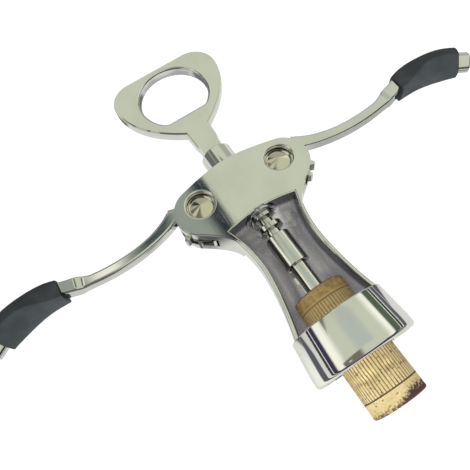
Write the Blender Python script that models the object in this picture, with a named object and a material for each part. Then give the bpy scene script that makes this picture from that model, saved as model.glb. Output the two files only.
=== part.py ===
"""Wing corkscrew lying on its back, modelled as separate pieces on their joint axes.

The spindle axis runs along +Y, from the cork at the low end to the bottle opener at the high
end. The open window faces +Z. Places along the axis are measured from the mouth of the bell,
and those of the spindle, yoke and opener follow the height of the pivot pins.
"""

import math

import bmesh
import bpy
import numpy as np
from mathutils import Vector

MM = 0.001
DEGREE = math.pi / 180

# Fits
RUNNING_GAP = 0.3 * MM
SEAT_GAP = 0.3 * MM
CUT_OVERRUN = 2.0 * MM

# Height of the pivot pins above the mouth of the bell
PIN_HEIGHT = 86.7 * MM

# Gear and rack
TOOTH_COUNT = 16
GEAR_PITCH_RADIUS = 14.9 * MM
GEAR_ADDENDUM = 1.0 * MM
GEAR_TOOTH_THICKNESS = 1.95 * MM
BACKLASH = 0.3 * MM
PRESSURE_ANGLE = 20 * DEGREE
RACK_PITCH_RADIUS = 5.0 * MM
RACK_ADDENDUM = 0.6 * MM
RACK_TIP_CLEARANCE = 0.6 * MM
GEAR_ROOT_CLEARANCE = 1.1 * MM
TEETH_ABOVE = 2
TEETH_BELOW = 7
RACK_GROOVES_ABOVE = 2
RACK_GROOVES_BELOW = 5

# Lever travel, from the pose of the photograph
LEVER_UP = 45 * DEGREE
LEVER_DOWN = 80 * DEGREE

# Cork
CORK_RADIUS = 11.1 * MM
CORK_LENGTH = 49.0 * MM
CORK_EDGE = 0.6 * MM
CORK_SIDE_CLEARANCE = 0.9 * MM

# Casting: bell, body and yoke
BELL_LENGTH = 18.8 * MM
BELL_LIP_RADIUS = 21.7 * MM
BELL_RIM_RADIUS = 20.3 * MM
BELL_WALL = 2.0 * MM
BELL_LIP_HEIGHT = 4.4 * MM
BELL_LIP_ROUND = 1.6 * MM
BELL_LIP_FLAT = 1.4 * MM
BELL_RIM_ROUND = 0.5 * MM
LEDGE_HEIGHT = 12.6 * MM
LEDGE_THICKNESS = 2.0 * MM
LEDGE_CLEARANCE = 1.9 * MM
BODY_WALL = 2.1 * MM
BODY_STEP_AT_RIM = 1.3 * MM
WAIST_DROP = 37.7 * MM
WALL_FRONT_AT_BELL = 5.2 * MM
WALL_FRONT_RECESS = 0.4 * MM
BODY_TOP_HALF_WIDTH = 19.0 * MM
WINDOW_TOP_DROP = 17.6 * MM
WINDOW_ARCH_RISE = 2.3 * MM
BODY_BACK_RISE = 2.1 * MM
YOKE_HALF_DEPTH = 7.9 * MM
YOKE_RISE = 13.3 * MM
YOKE_EDGE = 0.6 * MM
YOKE_SHOULDER_CONTROL = 8.0 * MM
YOKE_FOOT_DROP = 7.1 * MM
NECK_LENGTH = 8.8 * MM
NECK_RADIUS = 7.4 * MM
NECK_EDGE = 0.5 * MM
BOSS_RADIUS = 11.75 * MM
BOSS_OUTWARD = 0.9 * MM
BOSS_DROP = 2.3 * MM
BOSS_ARC_START = 75 * DEGREE
BOSS_ARC_END = -55 * DEGREE
SLOT_SIDE_GAP = 0.35 * MM

# Pivot pins
PIN_RADIUS = 3.0 * MM
PIN_HEAD_RADIUS = 5.7 * MM
PIN_HEAD_EDGE = 0.8 * MM
PIN_DOME = 1.5 * MM
PIN_RECESS = 3.2 * MM
PIN_SPIGOT_RADIUS = 1.8 * MM
PIN_SPIGOT_LENGTH = 1.4 * MM
RECESS_CHAMFER = 0.8 * MM

# Guide bush round the rack, under the yoke
BUSH_WALL = 0.7 * MM
BUSH_FLANGE_WIDTH = 0.8 * MM
BUSH_SEAT_DEPTH = 0.4 * MM
BUSH_FLANGE_THICKNESS = 1.5 * MM
BUSH_EDGE = 0.5 * MM
BUSH_LENGTH = 3.4 * MM
BUSH_LIP = 0.4 * MM
BUSH_LIP_LENGTH = 0.9 * MM

# Spindle
SLEEVE_LENGTH = 13.84 * MM
SLEEVE_EDGE = 0.5 * MM
SHANK_RADIUS = 3.75 * MM
SHANK_LENGTH = 13.2 * MM
SHANK_SEAT_DEPTH = 9.0 * MM
WORM_WIRE_RADIUS = 1.5 * MM
WORM_RADIUS = 3.1 * MM
WORM_PITCH = 9.5 * MM
WORM_TURNS = 4.25
WORM_SEAT_DEPTH = 10.0 * MM
WORM_POINT_LENGTH = 5.0 * MM
TENON_RADIUS = 2.6 * MM
TENON_LENGTH = 9.0 * MM

# Opener handle
HANDLE_HALF_THICKNESS = 2.8 * MM
HANDLE_EDGE = 0.7 * MM
HEAD_LENGTH = 44.6 * MM
EAR_RADIUS = 11.8 * MM
EAR_OUTWARD = 16.3 * MM
STEM_LENGTH = 16.5 * MM
STEM_TOP_HALF_WIDTH = 6.1 * MM
STEM_HALF_WIDTH = 5.4 * MM
HIP_DROP = 14.0 * MM
HIP_INWARD = 10.2 * MM
HIP_RISE = 7.7 * MM
HOLE_RADIUS = 17.2 * MM
HOLE_DROP = 20.7 * MM
HOLE_CHORD_DROP = 13.7 * MM
HOLE_CORNER = 1.5 * MM
COLLAR_RISE = 0.1 * MM
COLLAR_INSET = 1.2 * MM
COLLAR_OVERLAP = 1.0 * MM

# Levers, measured outward and toward the opener from the pivot
ARM_REACH = 67.6 * MM
GRIP_REACH = 31.6 * MM
HEAD_HALF_THICKNESS = 2.6 * MM
HEAD_CREST_RADIUS = 9.2 * MM
ARM_HALF_THICKNESS = 2.85 * MM
ARM_ROOT = (14.9 * MM, 4.5 * MM)
ARM_TIP_RISE = 2.7 * MM
ARM_CONTROL_RISES = (-3.6 * MM, -3.2 * MM)
ARM_CONTROL_SHARES = (0.4, 0.763)
ARM_ROOT_HALF_WIDTH = 4.6 * MM
ARM_WAIST_HALF_WIDTH = 2.4 * MM
ARM_ROOT_SHARE = 0.4
WEB_START = (3.0 * MM, 3.0 * MM)
WEB_THINNING = 0.1 * MM
BLOCK_LENGTH = 7.0 * MM
BLOCK_RISE = 0.4 * MM
BLOCK_HALF_WIDTH = 3.2 * MM
BLOCK_HALF_THICKNESS = 3.7 * MM
GRIP_TIP_RISE = -2.1 * MM
GRIP_CONTROL_RISES = (4.4 * MM, 3.0 * MM)
GRIP_CONTROL_SHARES = (0.313, 0.75)
GRIP_ROOT_HALF_WIDTH = 4.7 * MM
GRIP_HALF_WIDTH = 7.6 * MM
GRIP_ROOT_HALF_THICKNESS = 4.9 * MM
GRIP_HALF_THICKNESS = 6.8 * MM
TANG_HALF_WIDTH = 2.2 * MM
TANG_HALF_THICKNESS = 1.5 * MM
TANG_PAST_GRIP = 2.6 * MM
CAP_LENGTH = 5.4 * MM
CAP_HALF_WIDTH = 4.9 * MM
CAP_HALF_THICKNESS = 4.5 * MM
CAP_END_HALF_WIDTH = 3.9 * MM

# Facet counts
ROUND_SEGMENTS = 40
TURNED_SEGMENTS = 28
SMALL_ROUND_SEGMENTS = 20
BODY_STATIONS = 15
BODY_BACK_SEGMENTS = 14
ARC_STEP = 9 * DEGREE
EDGE_ARC_STEP = 30 * DEGREE
WORM_SIDES = 8
WORM_STEPS_PER_TURN = 14
ARM_STATIONS = 15
GRIP_STATIONS = 13
FLANK_POINTS = 4
BEZIER_STEPS = 6
EDGE_SEGMENTS = 2
SMOOTH_ANGLE = 32 * DEGREE

# Widths of the grip along its length, as shares of its full half width
GRIP_SWELL_SHARES = (0.0, 0.38, 0.72, 0.96, 1.0, 0.86)
# Corners of the grip's section as shares of its half width and half thickness; the soft ridge
# runs a little below the middle of each broad face
GRIP_SECTION_SHARES = (
    (1.0, 0.0), (0.97, 0.36), (0.76, 0.66), (0.34, 0.88), (-0.16, 1.0), (-0.62, 0.88),
    (-0.95, 0.56), (-1.0, 0.0),
)
# Corners of the arm's section, a flat bar with broken edges
ARM_SECTION_SHARES = ((1.0, 0.75), (0.88, 1.0), (-0.88, 1.0), (-1.0, 0.75))
# Places along the end cap, as shares of its length, closer together toward its rounded end
CAP_STATION_SHARES = (0.0, 0.5, 0.85, 1.0)
# How far the worm's point narrows, and where the arms and grips turn square to the lever
WORM_POINT_SHARE = 0.12
SQUARED_SHARE = 0.2
# Angles of the points on a pin head's dome, as shares of a quarter turn
DOME_SHARES = (0.2, 0.4, 0.6, 0.8)
# Steepness of the body's two flares away from its waist
BELL_FLARE_POWER = 1.7
YOKE_FLARE_POWER = 2
ROOT_FLARE_POWER = 2
# Half the stretch over which a path's direction is taken, as a share of one step along it
DIRECTION_SHARE = 0.25

# Worked out from the sizes above
RACK_PITCH = 2 * math.pi * GEAR_PITCH_RADIUS / TOOTH_COUNT
RACK_TOOTH_THICKNESS = RACK_PITCH - GEAR_TOOTH_THICKNESS - 2 * BACKLASH
RACK_RADIUS = RACK_PITCH_RADIUS + RACK_ADDENDUM
RACK_NECK_RADIUS = RACK_PITCH_RADIUS - GEAR_ADDENDUM - RACK_TIP_CLEARANCE
GEAR_TIP_RADIUS = GEAR_PITCH_RADIUS + GEAR_ADDENDUM
GEAR_ROOT_RADIUS = GEAR_PITCH_RADIUS - RACK_ADDENDUM - GEAR_ROOT_CLEARANCE
PIN_OUTWARD = GEAR_PITCH_RADIUS + RACK_PITCH_RADIUS
SLIDE_UP = LEVER_DOWN * GEAR_PITCH_RADIUS
SLEEVE_END = PIN_HEIGHT - RACK_GROOVES_BELOW * RACK_PITCH - SLEEVE_LENGTH
CORK_TOP = SLEEVE_END - SHANK_LENGTH
CORK_BOTTOM = CORK_TOP - CORK_LENGTH
WAIST_HEIGHT = PIN_HEIGHT - WAIST_DROP
WINDOW_TOP_SIDE = PIN_HEIGHT - WINDOW_TOP_DROP
WINDOW_TOP_CENTRE = WINDOW_TOP_SIDE + WINDOW_ARCH_RISE
BODY_BACK_END = WINDOW_TOP_CENTRE + BODY_BACK_RISE
YOKE_FOOT = WINDOW_TOP_SIDE - YOKE_FOOT_DROP
YOKE_TOP = PIN_HEIGHT + YOKE_RISE
NECK_TOP = YOKE_TOP + NECK_LENGTH
COLLAR_BOTTOM = PIN_HEIGHT + RACK_GROOVES_ABOVE * RACK_PITCH + COLLAR_RISE
COLLAR_TOP = NECK_TOP - COLLAR_INSET
STEM_TOP = NECK_TOP + STEM_LENGTH
HANDLE_TOP = STEM_TOP + HEAD_LENGTH
HOLE_HEIGHT = HANDLE_TOP - HOLE_DROP
WAIST_INNER = CORK_RADIUS + CORK_SIDE_CLEARANCE
WAIST_HALF_WIDTH = WAIST_INNER + BODY_WALL
BORE_RADIUS = RACK_RADIUS + RUNNING_GAP
STEM_CORNER_RADIUS = math.hypot(STEM_TOP_HALF_WIDTH, HANDLE_HALF_THICKNESS - HANDLE_EDGE)
NECK_BORE_RADIUS = STEM_CORNER_RADIUS + RUNNING_GAP
SLOT_HALF = ARM_HALF_THICKNESS + SLOT_SIDE_GAP
BOSS_X = PIN_OUTWARD + BOSS_OUTWARD
BOSS_Y = PIN_HEIGHT - BOSS_DROP
AXIS_HEIGHT = BELL_LIP_RADIUS * math.cos(math.pi / ROUND_SEGMENTS)
MIDDLE = (HANDLE_TOP + CORK_BOTTOM) / 2


def clear_scene():
    for obj in list(bpy.data.objects):
        bpy.data.objects.remove(obj, do_unlink=True)


def make_material(name, colour, roughness, metallic):
    material = bpy.data.materials.new(name)
    material.use_nodes = True
    shader = material.node_tree.nodes["Principled BSDF"]
    shader.inputs["Base Color"].default_value = (*colour, 1)
    shader.inputs["Roughness"].default_value = roughness
    shader.inputs["Metallic"].default_value = metallic
    material.diffuse_color = (*colour, 1)
    return material


def make_empty(name, parent, location):
    empty = bpy.data.objects.new(name, None)
    bpy.context.collection.objects.link(empty)
    empty.parent = parent
    empty.location = location
    return empty


def make_object(name, mesh_data, parent, material=None):
    """Makes an object from (points, faces) given round its parent's origin."""
    points, faces = mesh_data
    mesh = bpy.data.meshes.new(name)
    mesh.from_pydata([tuple(point) for point in points], [], [tuple(face) for face in faces])
    mesh.shade_smooth()
    mesh.set_sharp_from_angle(angle=SMOOTH_ANGLE)
    obj = bpy.data.objects.new(name, mesh)
    bpy.context.collection.objects.link(obj)
    obj.parent = parent
    if material:
        mesh.materials.append(material)
    else:
        obj.hide_render = True
        obj.display_type = "WIRE"
    return obj


def combine(target, tool, operation):
    """Joins, cuts or trims the target by a wire tool object, and keeps the change live."""
    modifier = target.modifiers.new(f"{operation.lower()} {tool.name}", "BOOLEAN")
    modifier.operation = operation
    modifier.solver = "EXACT"
    modifier.object = tool


def round_arc(centre, radius, start, end, step=ARC_STEP):
    """Points on a circular arc from one angle to another, both included."""
    count = max(2, math.ceil(abs(end - start) / step))
    angles = [start + (end - start) * i / count for i in range(count + 1)]
    return [(centre[0] + radius * math.cos(a), centre[1] + radius * math.sin(a)) for a in angles]


def bezier(controls, share):
    """A point on the Bezier curve of any number of control points."""
    points = [Vector(control) for control in controls]
    while len(points) > 1:
        points = [a.lerp(b, share) for a, b in zip(points, points[1:])]
    return points[0]


def bezier_points(controls):
    return [tuple(bezier(controls, i / BEZIER_STEPS)) for i in range(BEZIER_STEPS + 1)]


def ease(share):
    """Runs smoothly from 0 to 1 and is level at both ends."""
    share = min(max(share, 0), 1)
    return share * share * (3 - 2 * share)


def table_value(shares, share):
    """Reads an evenly spaced table of shares at a place between 0 and 1."""
    return float(np.interp(share, np.linspace(0, 1, len(shares)), shares))


def revolve(profile, segments):
    """Turns a closed profile of (radius, place on the axis) points round the Y axis.

    The profile runs anticlockwise as seen with the radius to the right and the axis up. The
    facets are flat toward the sides, front and back, so that no corner lies in those planes.
    """
    points, rings = [], []
    for radius, place in profile:
        if radius == 0:
            rings.append([len(points)] * segments)
            points.append((0, place, 0))
            continue
        rings.append([len(points) + i for i in range(segments)])
        for i in range(segments):
            angle = 2 * math.pi * (i + 0.5) / segments
            points.append((radius * math.sin(angle), place, radius * math.cos(angle)))
    faces = []
    for ring, following in zip(rings, rings[1:] + rings[:1]):
        for i in range(segments):
            j = (i + 1) % segments
            corners = dict.fromkeys((ring[i], ring[j], following[j], following[i]))
            if len(corners) > 2:
                faces.append(tuple(corners))
    return points, faces


def prism(outline, low, high, edge=0):
    """A plate with an anticlockwise (x, y) outline, between two heights along Z.

    With an edge, the rims of both faces are rounded over by that much.
    """
    builder = bmesh.new()
    verts = [builder.verts.new((x, y, low)) for x, y in outline]
    floor = builder.faces.new(verts[::-1])
    raised = bmesh.ops.extrude_face_region(builder, geom=[floor])
    lifted = [item for item in raised["geom"] if isinstance(item, bmesh.types.BMVert)]
    bmesh.ops.translate(builder, verts=lifted, vec=(0, 0, high - low))
    builder.normal_update()
    bmesh.ops.recalc_face_normals(builder, faces=builder.faces)
    if edge:
        rims = [e for e in builder.edges if all(v.co.z == lifted[0].co.z for v in e.verts)]
        rims += [e for e in builder.edges if all(v.co.z == verts[0].co.z for v in e.verts)]
        bmesh.ops.bevel(
            builder, geom=rims, offset=edge, offset_type="OFFSET", segments=EDGE_SEGMENTS,
            affect="EDGES", clamp_overlap=True,
        )
    builder.verts.index_update()
    data = [tuple(v.co) for v in builder.verts], [[v.index for v in f.verts] for f in builder.faces]
    builder.free()
    return data


def loft(sections):
    """Skins closed sections of equal point count, and closes both ends.

    Each section runs anticlockwise as seen from the far end of the loft.
    """
    points = [point for section in sections for point in section]
    count = len(sections[0])
    faces = []
    for level in range(len(sections) - 1):
        for i in range(count):
            j = (i + 1) % count
            low, high = level * count, (level + 1) * count
            faces.append((low + i, low + j, high + j, high + i))
    faces.append(tuple(range(count))[::-1])
    faces.append(tuple(range(len(points) - count, len(points))))
    return points, faces


def turned_outward(mesh_data):
    """Makes the faces of a closed body point outward, whichever way they were built."""
    builder = bmesh.new()
    verts = [builder.verts.new(point) for point in mesh_data[0]]
    for face in mesh_data[1]:
        builder.faces.new([verts[i] for i in face])
    bmesh.ops.recalc_face_normals(builder, faces=builder.faces)
    if builder.calc_volume(signed=True) < 0:
        bmesh.ops.reverse_faces(builder, faces=builder.faces)
    builder.verts.index_update()
    data = [tuple(v.co) for v in builder.verts], [[v.index for v in f.verts] for f in builder.faces]
    builder.free()
    return data


def mirrored(mesh_data):
    """The same body on the other side of the spindle axis."""
    points, faces = mesh_data
    return [(-x, y, z) for x, y, z in points], [tuple(face)[::-1] for face in faces]


def mirrored_outward(mesh_data):
    return turned_outward(mirrored(mesh_data))


def turned_flat(mesh_data, middle_x, middle_y):
    """A body of revolution moved from the Y axis to a pin's axis along Z."""
    points, faces = mesh_data
    return [(middle_x + x, middle_y - z, y) for x, y, z in points], faces


def body_half_width(place):
    """Outer half width of the body: drawn in to the waist, flared to bell and yoke."""
    if place < WAIST_HEIGHT:
        share = (WAIST_HEIGHT - place) / (WAIST_HEIGHT - BELL_LENGTH)
        rim_half_width = BELL_RIM_RADIUS - BODY_STEP_AT_RIM
        return WAIST_HALF_WIDTH + (rim_half_width - WAIST_HALF_WIDTH) * share ** BELL_FLARE_POWER
    share = (place - WAIST_HEIGHT) / (WINDOW_TOP_CENTRE - WAIST_HEIGHT)
    flare = share ** YOKE_FLARE_POWER
    return WAIST_HALF_WIDTH + (BODY_TOP_HALF_WIDTH - WAIST_HALF_WIDTH) * flare


def body_back_depth(place):
    """Depth of the round back wall, which comes forward to the yoke above the raised cork."""
    round_depth = min(body_half_width(place), body_half_width(min(place, WAIST_HEIGHT)))
    raised_cork_top = CORK_TOP + SLIDE_UP + SEAT_GAP
    share = (place - raised_cork_top) / (BODY_BACK_END - raised_cork_top)
    return round_depth + (YOKE_HALF_DEPTH - round_depth) * ease(share)


def body_front(place):
    """Height of the side walls' front edges."""
    share = (place - BELL_LENGTH) / (WAIST_HEIGHT - BELL_LENGTH)
    full = YOKE_HALF_DEPTH - WALL_FRONT_RECESS
    return WALL_FRONT_AT_BELL + (full - WALL_FRONT_AT_BELL) * ease(share)


def body_section(place):
    """A U-shaped wall round the open front, at one place along the axis."""
    width, depth, front = body_half_width(place), body_back_depth(place), body_front(place)
    section = [(width, place, front)]
    for i in range(BODY_BACK_SEGMENTS + 1):
        angle = math.pi * i / BODY_BACK_SEGMENTS
        section.append((width * math.cos(angle), place, -depth * math.sin(angle)))
    section.append((-width, place, front))
    inner_width, inner_depth = width - BODY_WALL, depth - BODY_WALL
    section.append((-inner_width, place, front))
    for i in range(BODY_BACK_SEGMENTS + 1):
        angle = math.pi * (1 - i / BODY_BACK_SEGMENTS)
        section.append((inner_width * math.cos(angle), place, -inner_depth * math.sin(angle)))
    section.append((inner_width, place, front))
    return section


def body_channel():
    start = LEDGE_HEIGHT + LEDGE_THICKNESS / 2
    places = np.linspace(start, BODY_BACK_END, BODY_STATIONS)
    return turned_outward(loft([body_section(float(place)) for place in places]))


def bell():
    """Flared cup with a rounded lip, and a ledge inside that rests on the bottle's mouth."""
    lip_centre = (BELL_LIP_RADIUS - BELL_LIP_ROUND, BELL_LIP_ROUND)
    lip = round_arc(lip_centre, BELL_LIP_ROUND, -math.pi / 2, 0, EDGE_ARC_STEP)
    rim_centre = (BELL_RIM_RADIUS - BELL_RIM_ROUND, BELL_LENGTH - BELL_RIM_ROUND)
    rim = round_arc(rim_centre, BELL_RIM_ROUND, 0, math.pi / 2, EDGE_ARC_STEP)
    ledge_radius = CORK_RADIUS + LEDGE_CLEARANCE
    inside = [
        (BELL_RIM_RADIUS - BELL_WALL, BELL_LENGTH),
        (BELL_RIM_RADIUS - BELL_WALL, LEDGE_HEIGHT + LEDGE_THICKNESS),
        (ledge_radius, LEDGE_HEIGHT + LEDGE_THICKNESS),
        (ledge_radius, LEDGE_HEIGHT),
        (BELL_RIM_RADIUS - BELL_WALL, LEDGE_HEIGHT),
        (BELL_LIP_RADIUS - BELL_LIP_ROUND - BELL_LIP_FLAT, 0),
    ]
    return revolve(lip + [(BELL_LIP_RADIUS, BELL_LIP_HEIGHT)] + rim + inside, ROUND_SEGMENTS)


def yoke_outline():
    """Front view of the yoke: bosses round the pins, a shallow top and an arched window top."""
    arc = round_arc((BOSS_X, BOSS_Y), BOSS_RADIUS, BOSS_ARC_START, BOSS_ARC_END)
    top = bezier_points([(0, YOKE_TOP), (YOKE_SHOULDER_CONTROL, YOKE_TOP), arc[0]])
    foot_width = body_half_width(YOKE_FOOT)
    foot = (foot_width - SEAT_GAP, YOKE_FOOT)
    armpit = (foot_width + BOSS_OUTWARD, WINDOW_TOP_SIDE - BODY_WALL)
    flare = bezier_points([arc[-1], armpit, foot])
    inner_foot = (foot_width - BODY_WALL + SEAT_GAP, YOKE_FOOT)
    corner = (body_half_width(WINDOW_TOP_SIDE) - BODY_WALL + SEAT_GAP, WINDOW_TOP_SIDE)
    arch_control = (corner[0] / 2, WINDOW_TOP_CENTRE)
    arch = bezier_points([corner, arch_control, (0, WINDOW_TOP_CENTRE)])
    right = top[1:] + arc[1:] + flare[1:] + [inner_foot] + arch[:-1]
    left = [(-x, y) for x, y in reversed(right)]
    clockwise = [top[0]] + right + [arch[-1]] + left
    return clockwise[::-1]


def slot_outline():
    """Room for one lever: round its gear inside the yoke, and open to the outside."""
    radius = GEAR_TIP_RADIUS + 2 * RUNNING_GAP
    arc = round_arc((PIN_OUTWARD, PIN_HEIGHT), radius, math.pi / 2, 3 * math.pi / 2)
    outside = BOSS_X + BOSS_RADIUS + CUT_OVERRUN
    return arc + [(outside, PIN_HEIGHT - radius), (outside, PIN_HEIGHT + radius)]


def pin_hole(side):
    """Bore for a pin with a chamfered round recess in each face."""
    bore = PIN_RADIUS + RUNNING_GAP
    recess = PIN_HEAD_RADIUS + RUNNING_GAP
    floor = YOKE_HALF_DEPTH - PIN_RECESS
    chamfer_foot = YOKE_HALF_DEPTH - RECESS_CHAMFER
    top = YOKE_HALF_DEPTH + CUT_OVERRUN
    mouth = recess + RECESS_CHAMFER
    right = [(bore, floor), (recess, floor), (recess, chamfer_foot), (mouth, YOKE_HALF_DEPTH),
             (mouth, top)]
    mirror = [(radius, -height) for radius, height in reversed(right)]
    profile = [(0, -top)] + mirror + right + [(0, top)]
    return turned_flat(revolve(profile, SMALL_ROUND_SEGMENTS), side * PIN_OUTWARD, PIN_HEIGHT)


def bush_places():
    """Where the guide bush sits: flange bottom, flange top, lip bottom and lip top."""
    ceiling = WINDOW_TOP_CENTRE + BUSH_SEAT_DEPTH
    return (
        ceiling - SEAT_GAP - BUSH_FLANGE_THICKNESS,
        ceiling - SEAT_GAP,
        ceiling + BUSH_LENGTH - BUSH_LIP_LENGTH,
        ceiling + BUSH_LENGTH,
    )


def neck():
    """Round neck on top of the yoke, in which the stem of the opener slides."""
    low = YOKE_TOP - YOKE_HALF_DEPTH
    edge = round_arc((NECK_RADIUS - NECK_EDGE, NECK_TOP - NECK_EDGE), NECK_EDGE, 0, math.pi / 2,
                     EDGE_ARC_STEP)
    return revolve([(0, low), (NECK_RADIUS, low)] + edge + [(0, NECK_TOP)], ROUND_SEGMENTS)


def yoke_bore():
    """Bore through yoke and neck, with the snap groove for the guide bush at its foot."""
    flange_bottom, flange_top, lip_bottom, lip_top = bush_places()
    barrel = BORE_RADIUS + BUSH_WALL + RUNNING_GAP
    groove = barrel + BUSH_LIP
    flange = BORE_RADIUS + BUSH_WALL + BUSH_FLANGE_WIDTH + RUNNING_GAP
    profile = [
        (0, flange_bottom - CUT_OVERRUN),
        (flange, flange_bottom - CUT_OVERRUN),
        (flange, flange_top + SEAT_GAP),
        (barrel, flange_top + SEAT_GAP),
        (barrel, lip_bottom - SEAT_GAP),
        (groove, lip_bottom - SEAT_GAP),
        (groove, lip_top + SEAT_GAP),
        (NECK_BORE_RADIUS, lip_top + SEAT_GAP),
        (NECK_BORE_RADIUS, NECK_TOP + CUT_OVERRUN),
        (0, NECK_TOP + CUT_OVERRUN),
    ]
    return revolve(profile, TURNED_SEGMENTS)


def build_casting(assembly, material):
    """Bell, body and yoke are one casting."""
    casting = make_object("frame_casting", bell(), assembly, material)
    combine(casting, make_object("cut_body_channel", body_channel(), assembly), "UNION")
    yoke = prism(yoke_outline(), -YOKE_HALF_DEPTH, YOKE_HALF_DEPTH, YOKE_EDGE)
    combine(casting, make_object("cut_yoke_block", yoke, assembly), "UNION")
    combine(casting, make_object("cut_yoke_neck", turned_outward(neck()), assembly), "UNION")
    slot = prism(slot_outline(), -SLOT_HALF, SLOT_HALF)
    combine(casting, make_object("cut_right_slot", slot, assembly), "DIFFERENCE")
    combine(casting, make_object("cut_left_slot", mirrored(slot), assembly), "DIFFERENCE")
    combine(casting, make_object("cut_yoke_bore", yoke_bore(), assembly), "DIFFERENCE")
    for side, word in ((1, "right"), (-1, "left")):
        hole = make_object(f"cut_{word}_pin_hole", pin_hole(side), assembly)
        combine(casting, hole, "DIFFERENCE")


def domed_head(base):
    """Profile of a low round pin head that stands on a given height."""
    shoulder = base + PIN_HEAD_EDGE
    profile = [(PIN_HEAD_RADIUS, base), (PIN_HEAD_RADIUS, shoulder)]
    for share in DOME_SHARES:
        angle = share * math.pi / 2
        profile.append((PIN_HEAD_RADIUS * math.cos(angle), shoulder + PIN_DOME * math.sin(angle)))
    return profile + [(0, shoulder + PIN_DOME)]


def build_pins(assembly, material):
    """Each pivot is a headed pin from the front and a domed cap on its spigot at the back."""
    seat = YOKE_HALF_DEPTH - PIN_RECESS + SEAT_GAP
    shank_end = -seat
    spigot_end = shank_end - PIN_SPIGOT_LENGTH
    pin_profile = [
        (0, spigot_end),
        (PIN_SPIGOT_RADIUS, spigot_end),
        (PIN_SPIGOT_RADIUS, shank_end),
        (PIN_RADIUS, shank_end),
        (PIN_RADIUS, seat),
    ] + domed_head(seat)
    socket = PIN_SPIGOT_RADIUS + SEAT_GAP
    socket_top = seat + PIN_SPIGOT_LENGTH + SEAT_GAP
    cap_front = seat + SEAT_GAP
    cap_profile = [(0, socket_top), (socket, socket_top), (socket, cap_front)]
    cap_profile += domed_head(cap_front)
    pin = revolve(pin_profile, SMALL_ROUND_SEGMENTS)
    cap = revolve(cap_profile, SMALL_ROUND_SEGMENTS)
    for side, word in ((1, "right"), (-1, "left")):
        standing_pin = turned_outward(turned_flat(pin, side * PIN_OUTWARD, PIN_HEIGHT))
        make_object(f"{word}_pivot_pin", standing_pin, assembly, material)
        points, faces = turned_flat(cap, side * PIN_OUTWARD, PIN_HEIGHT)
        back_cap = turned_outward(([(x, y, -z) for x, y, z in points], faces))
        make_object(f"{word}_pivot_cap", back_cap, assembly, material)


def build_bush(assembly, material):
    """Loose guide ring that snaps into the yoke and turns with the spindle."""
    flange_bottom, flange_top, lip_bottom, lip_top = bush_places()
    barrel = BORE_RADIUS + BUSH_WALL
    flange = barrel + BUSH_FLANGE_WIDTH
    profile = [
        (BORE_RADIUS, flange_bottom),
        (flange - BUSH_EDGE, flange_bottom),
        (flange, flange_bottom + BUSH_EDGE),
        (flange, flange_top),
        (barrel, flange_top),
        (barrel, lip_bottom),
        (barrel + BUSH_LIP, lip_bottom),
        (barrel, lip_top),
        (BORE_RADIUS, lip_top),
    ]
    bush = turned_outward(revolve(profile, SMALL_ROUND_SEGMENTS))
    make_object("guide_bush", bush, assembly, material)


def rack_grooves():
    """Profile of the annular rack teeth, from the sleeve up to the collar."""
    slope = math.tan(PRESSURE_ANGLE)
    outer_half = (RACK_PITCH - RACK_TOOTH_THICKNESS) / 2 + RACK_ADDENDUM * slope
    neck_half = outer_half - (RACK_RADIUS - RACK_NECK_RADIUS) * slope
    profile = []
    for index in range(-RACK_GROOVES_BELOW, RACK_GROOVES_ABOVE):
        middle = PIN_HEIGHT + (index + 0.5) * RACK_PITCH
        profile += [
            (RACK_RADIUS, middle - outer_half),
            (RACK_NECK_RADIUS, middle - neck_half),
            (RACK_NECK_RADIUS, middle + neck_half),
            (RACK_RADIUS, middle + outer_half),
        ]
    return profile


def build_spindle(axis, steel):
    """The turned rack with its plain sleeve end, and the thinner shank below it."""
    top = COLLAR_BOTTOM - SEAT_GAP
    seat_top = SLEEVE_END + SHANK_SEAT_DEPTH
    bore = SHANK_RADIUS + SEAT_GAP
    rack = [
        (0, seat_top),
        (bore, seat_top),
        (bore, SLEEVE_END),
        (RACK_RADIUS - SLEEVE_EDGE, SLEEVE_END),
        (RACK_RADIUS, SLEEVE_END + SLEEVE_EDGE),
    ] + rack_grooves() + [
        (RACK_RADIUS, top),
        (TENON_RADIUS, top),
        (TENON_RADIUS, top + TENON_LENGTH),
        (0, top + TENON_LENGTH),
    ]
    make_object("rack_spindle", turned_outward(revolve(rack, TURNED_SEGMENTS)), axis, steel)
    foot = CORK_TOP + SEAT_GAP
    socket = WORM_WIRE_RADIUS + SEAT_GAP
    shank = [
        (0, foot + WORM_SEAT_DEPTH),
        (socket, foot + WORM_SEAT_DEPTH),
        (socket, foot),
        (SHANK_RADIUS, foot),
        (SHANK_RADIUS, seat_top - SEAT_GAP),
        (0, seat_top - SEAT_GAP),
    ]
    make_object("worm_shank", turned_outward(revolve(shank, SMALL_ROUND_SEGMENTS)), axis, steel)


def worm_centres():
    """Centre line of the worm: a straight stem, a flare of half a turn, a right-hand helix."""
    stem_top = CORK_TOP + WORM_SEAT_DEPTH
    helix_top = CORK_TOP - WORM_WIRE_RADIUS
    steps = round(WORM_TURNS * WORM_STEPS_PER_TURN)
    flare_steps = WORM_STEPS_PER_TURN / 2
    centres = [(0, stem_top, 0), (0, (stem_top + helix_top) / 2, 0)]
    for step in range(steps + 1):
        angle = 2 * math.pi * step / WORM_STEPS_PER_TURN
        radius = WORM_RADIUS * ease(step / flare_steps)
        place = helix_top - WORM_PITCH * step / WORM_STEPS_PER_TURN
        centres.append((-radius * math.sin(angle), place, radius * math.cos(angle)))
    return [Vector(centre) for centre in centres]


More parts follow.
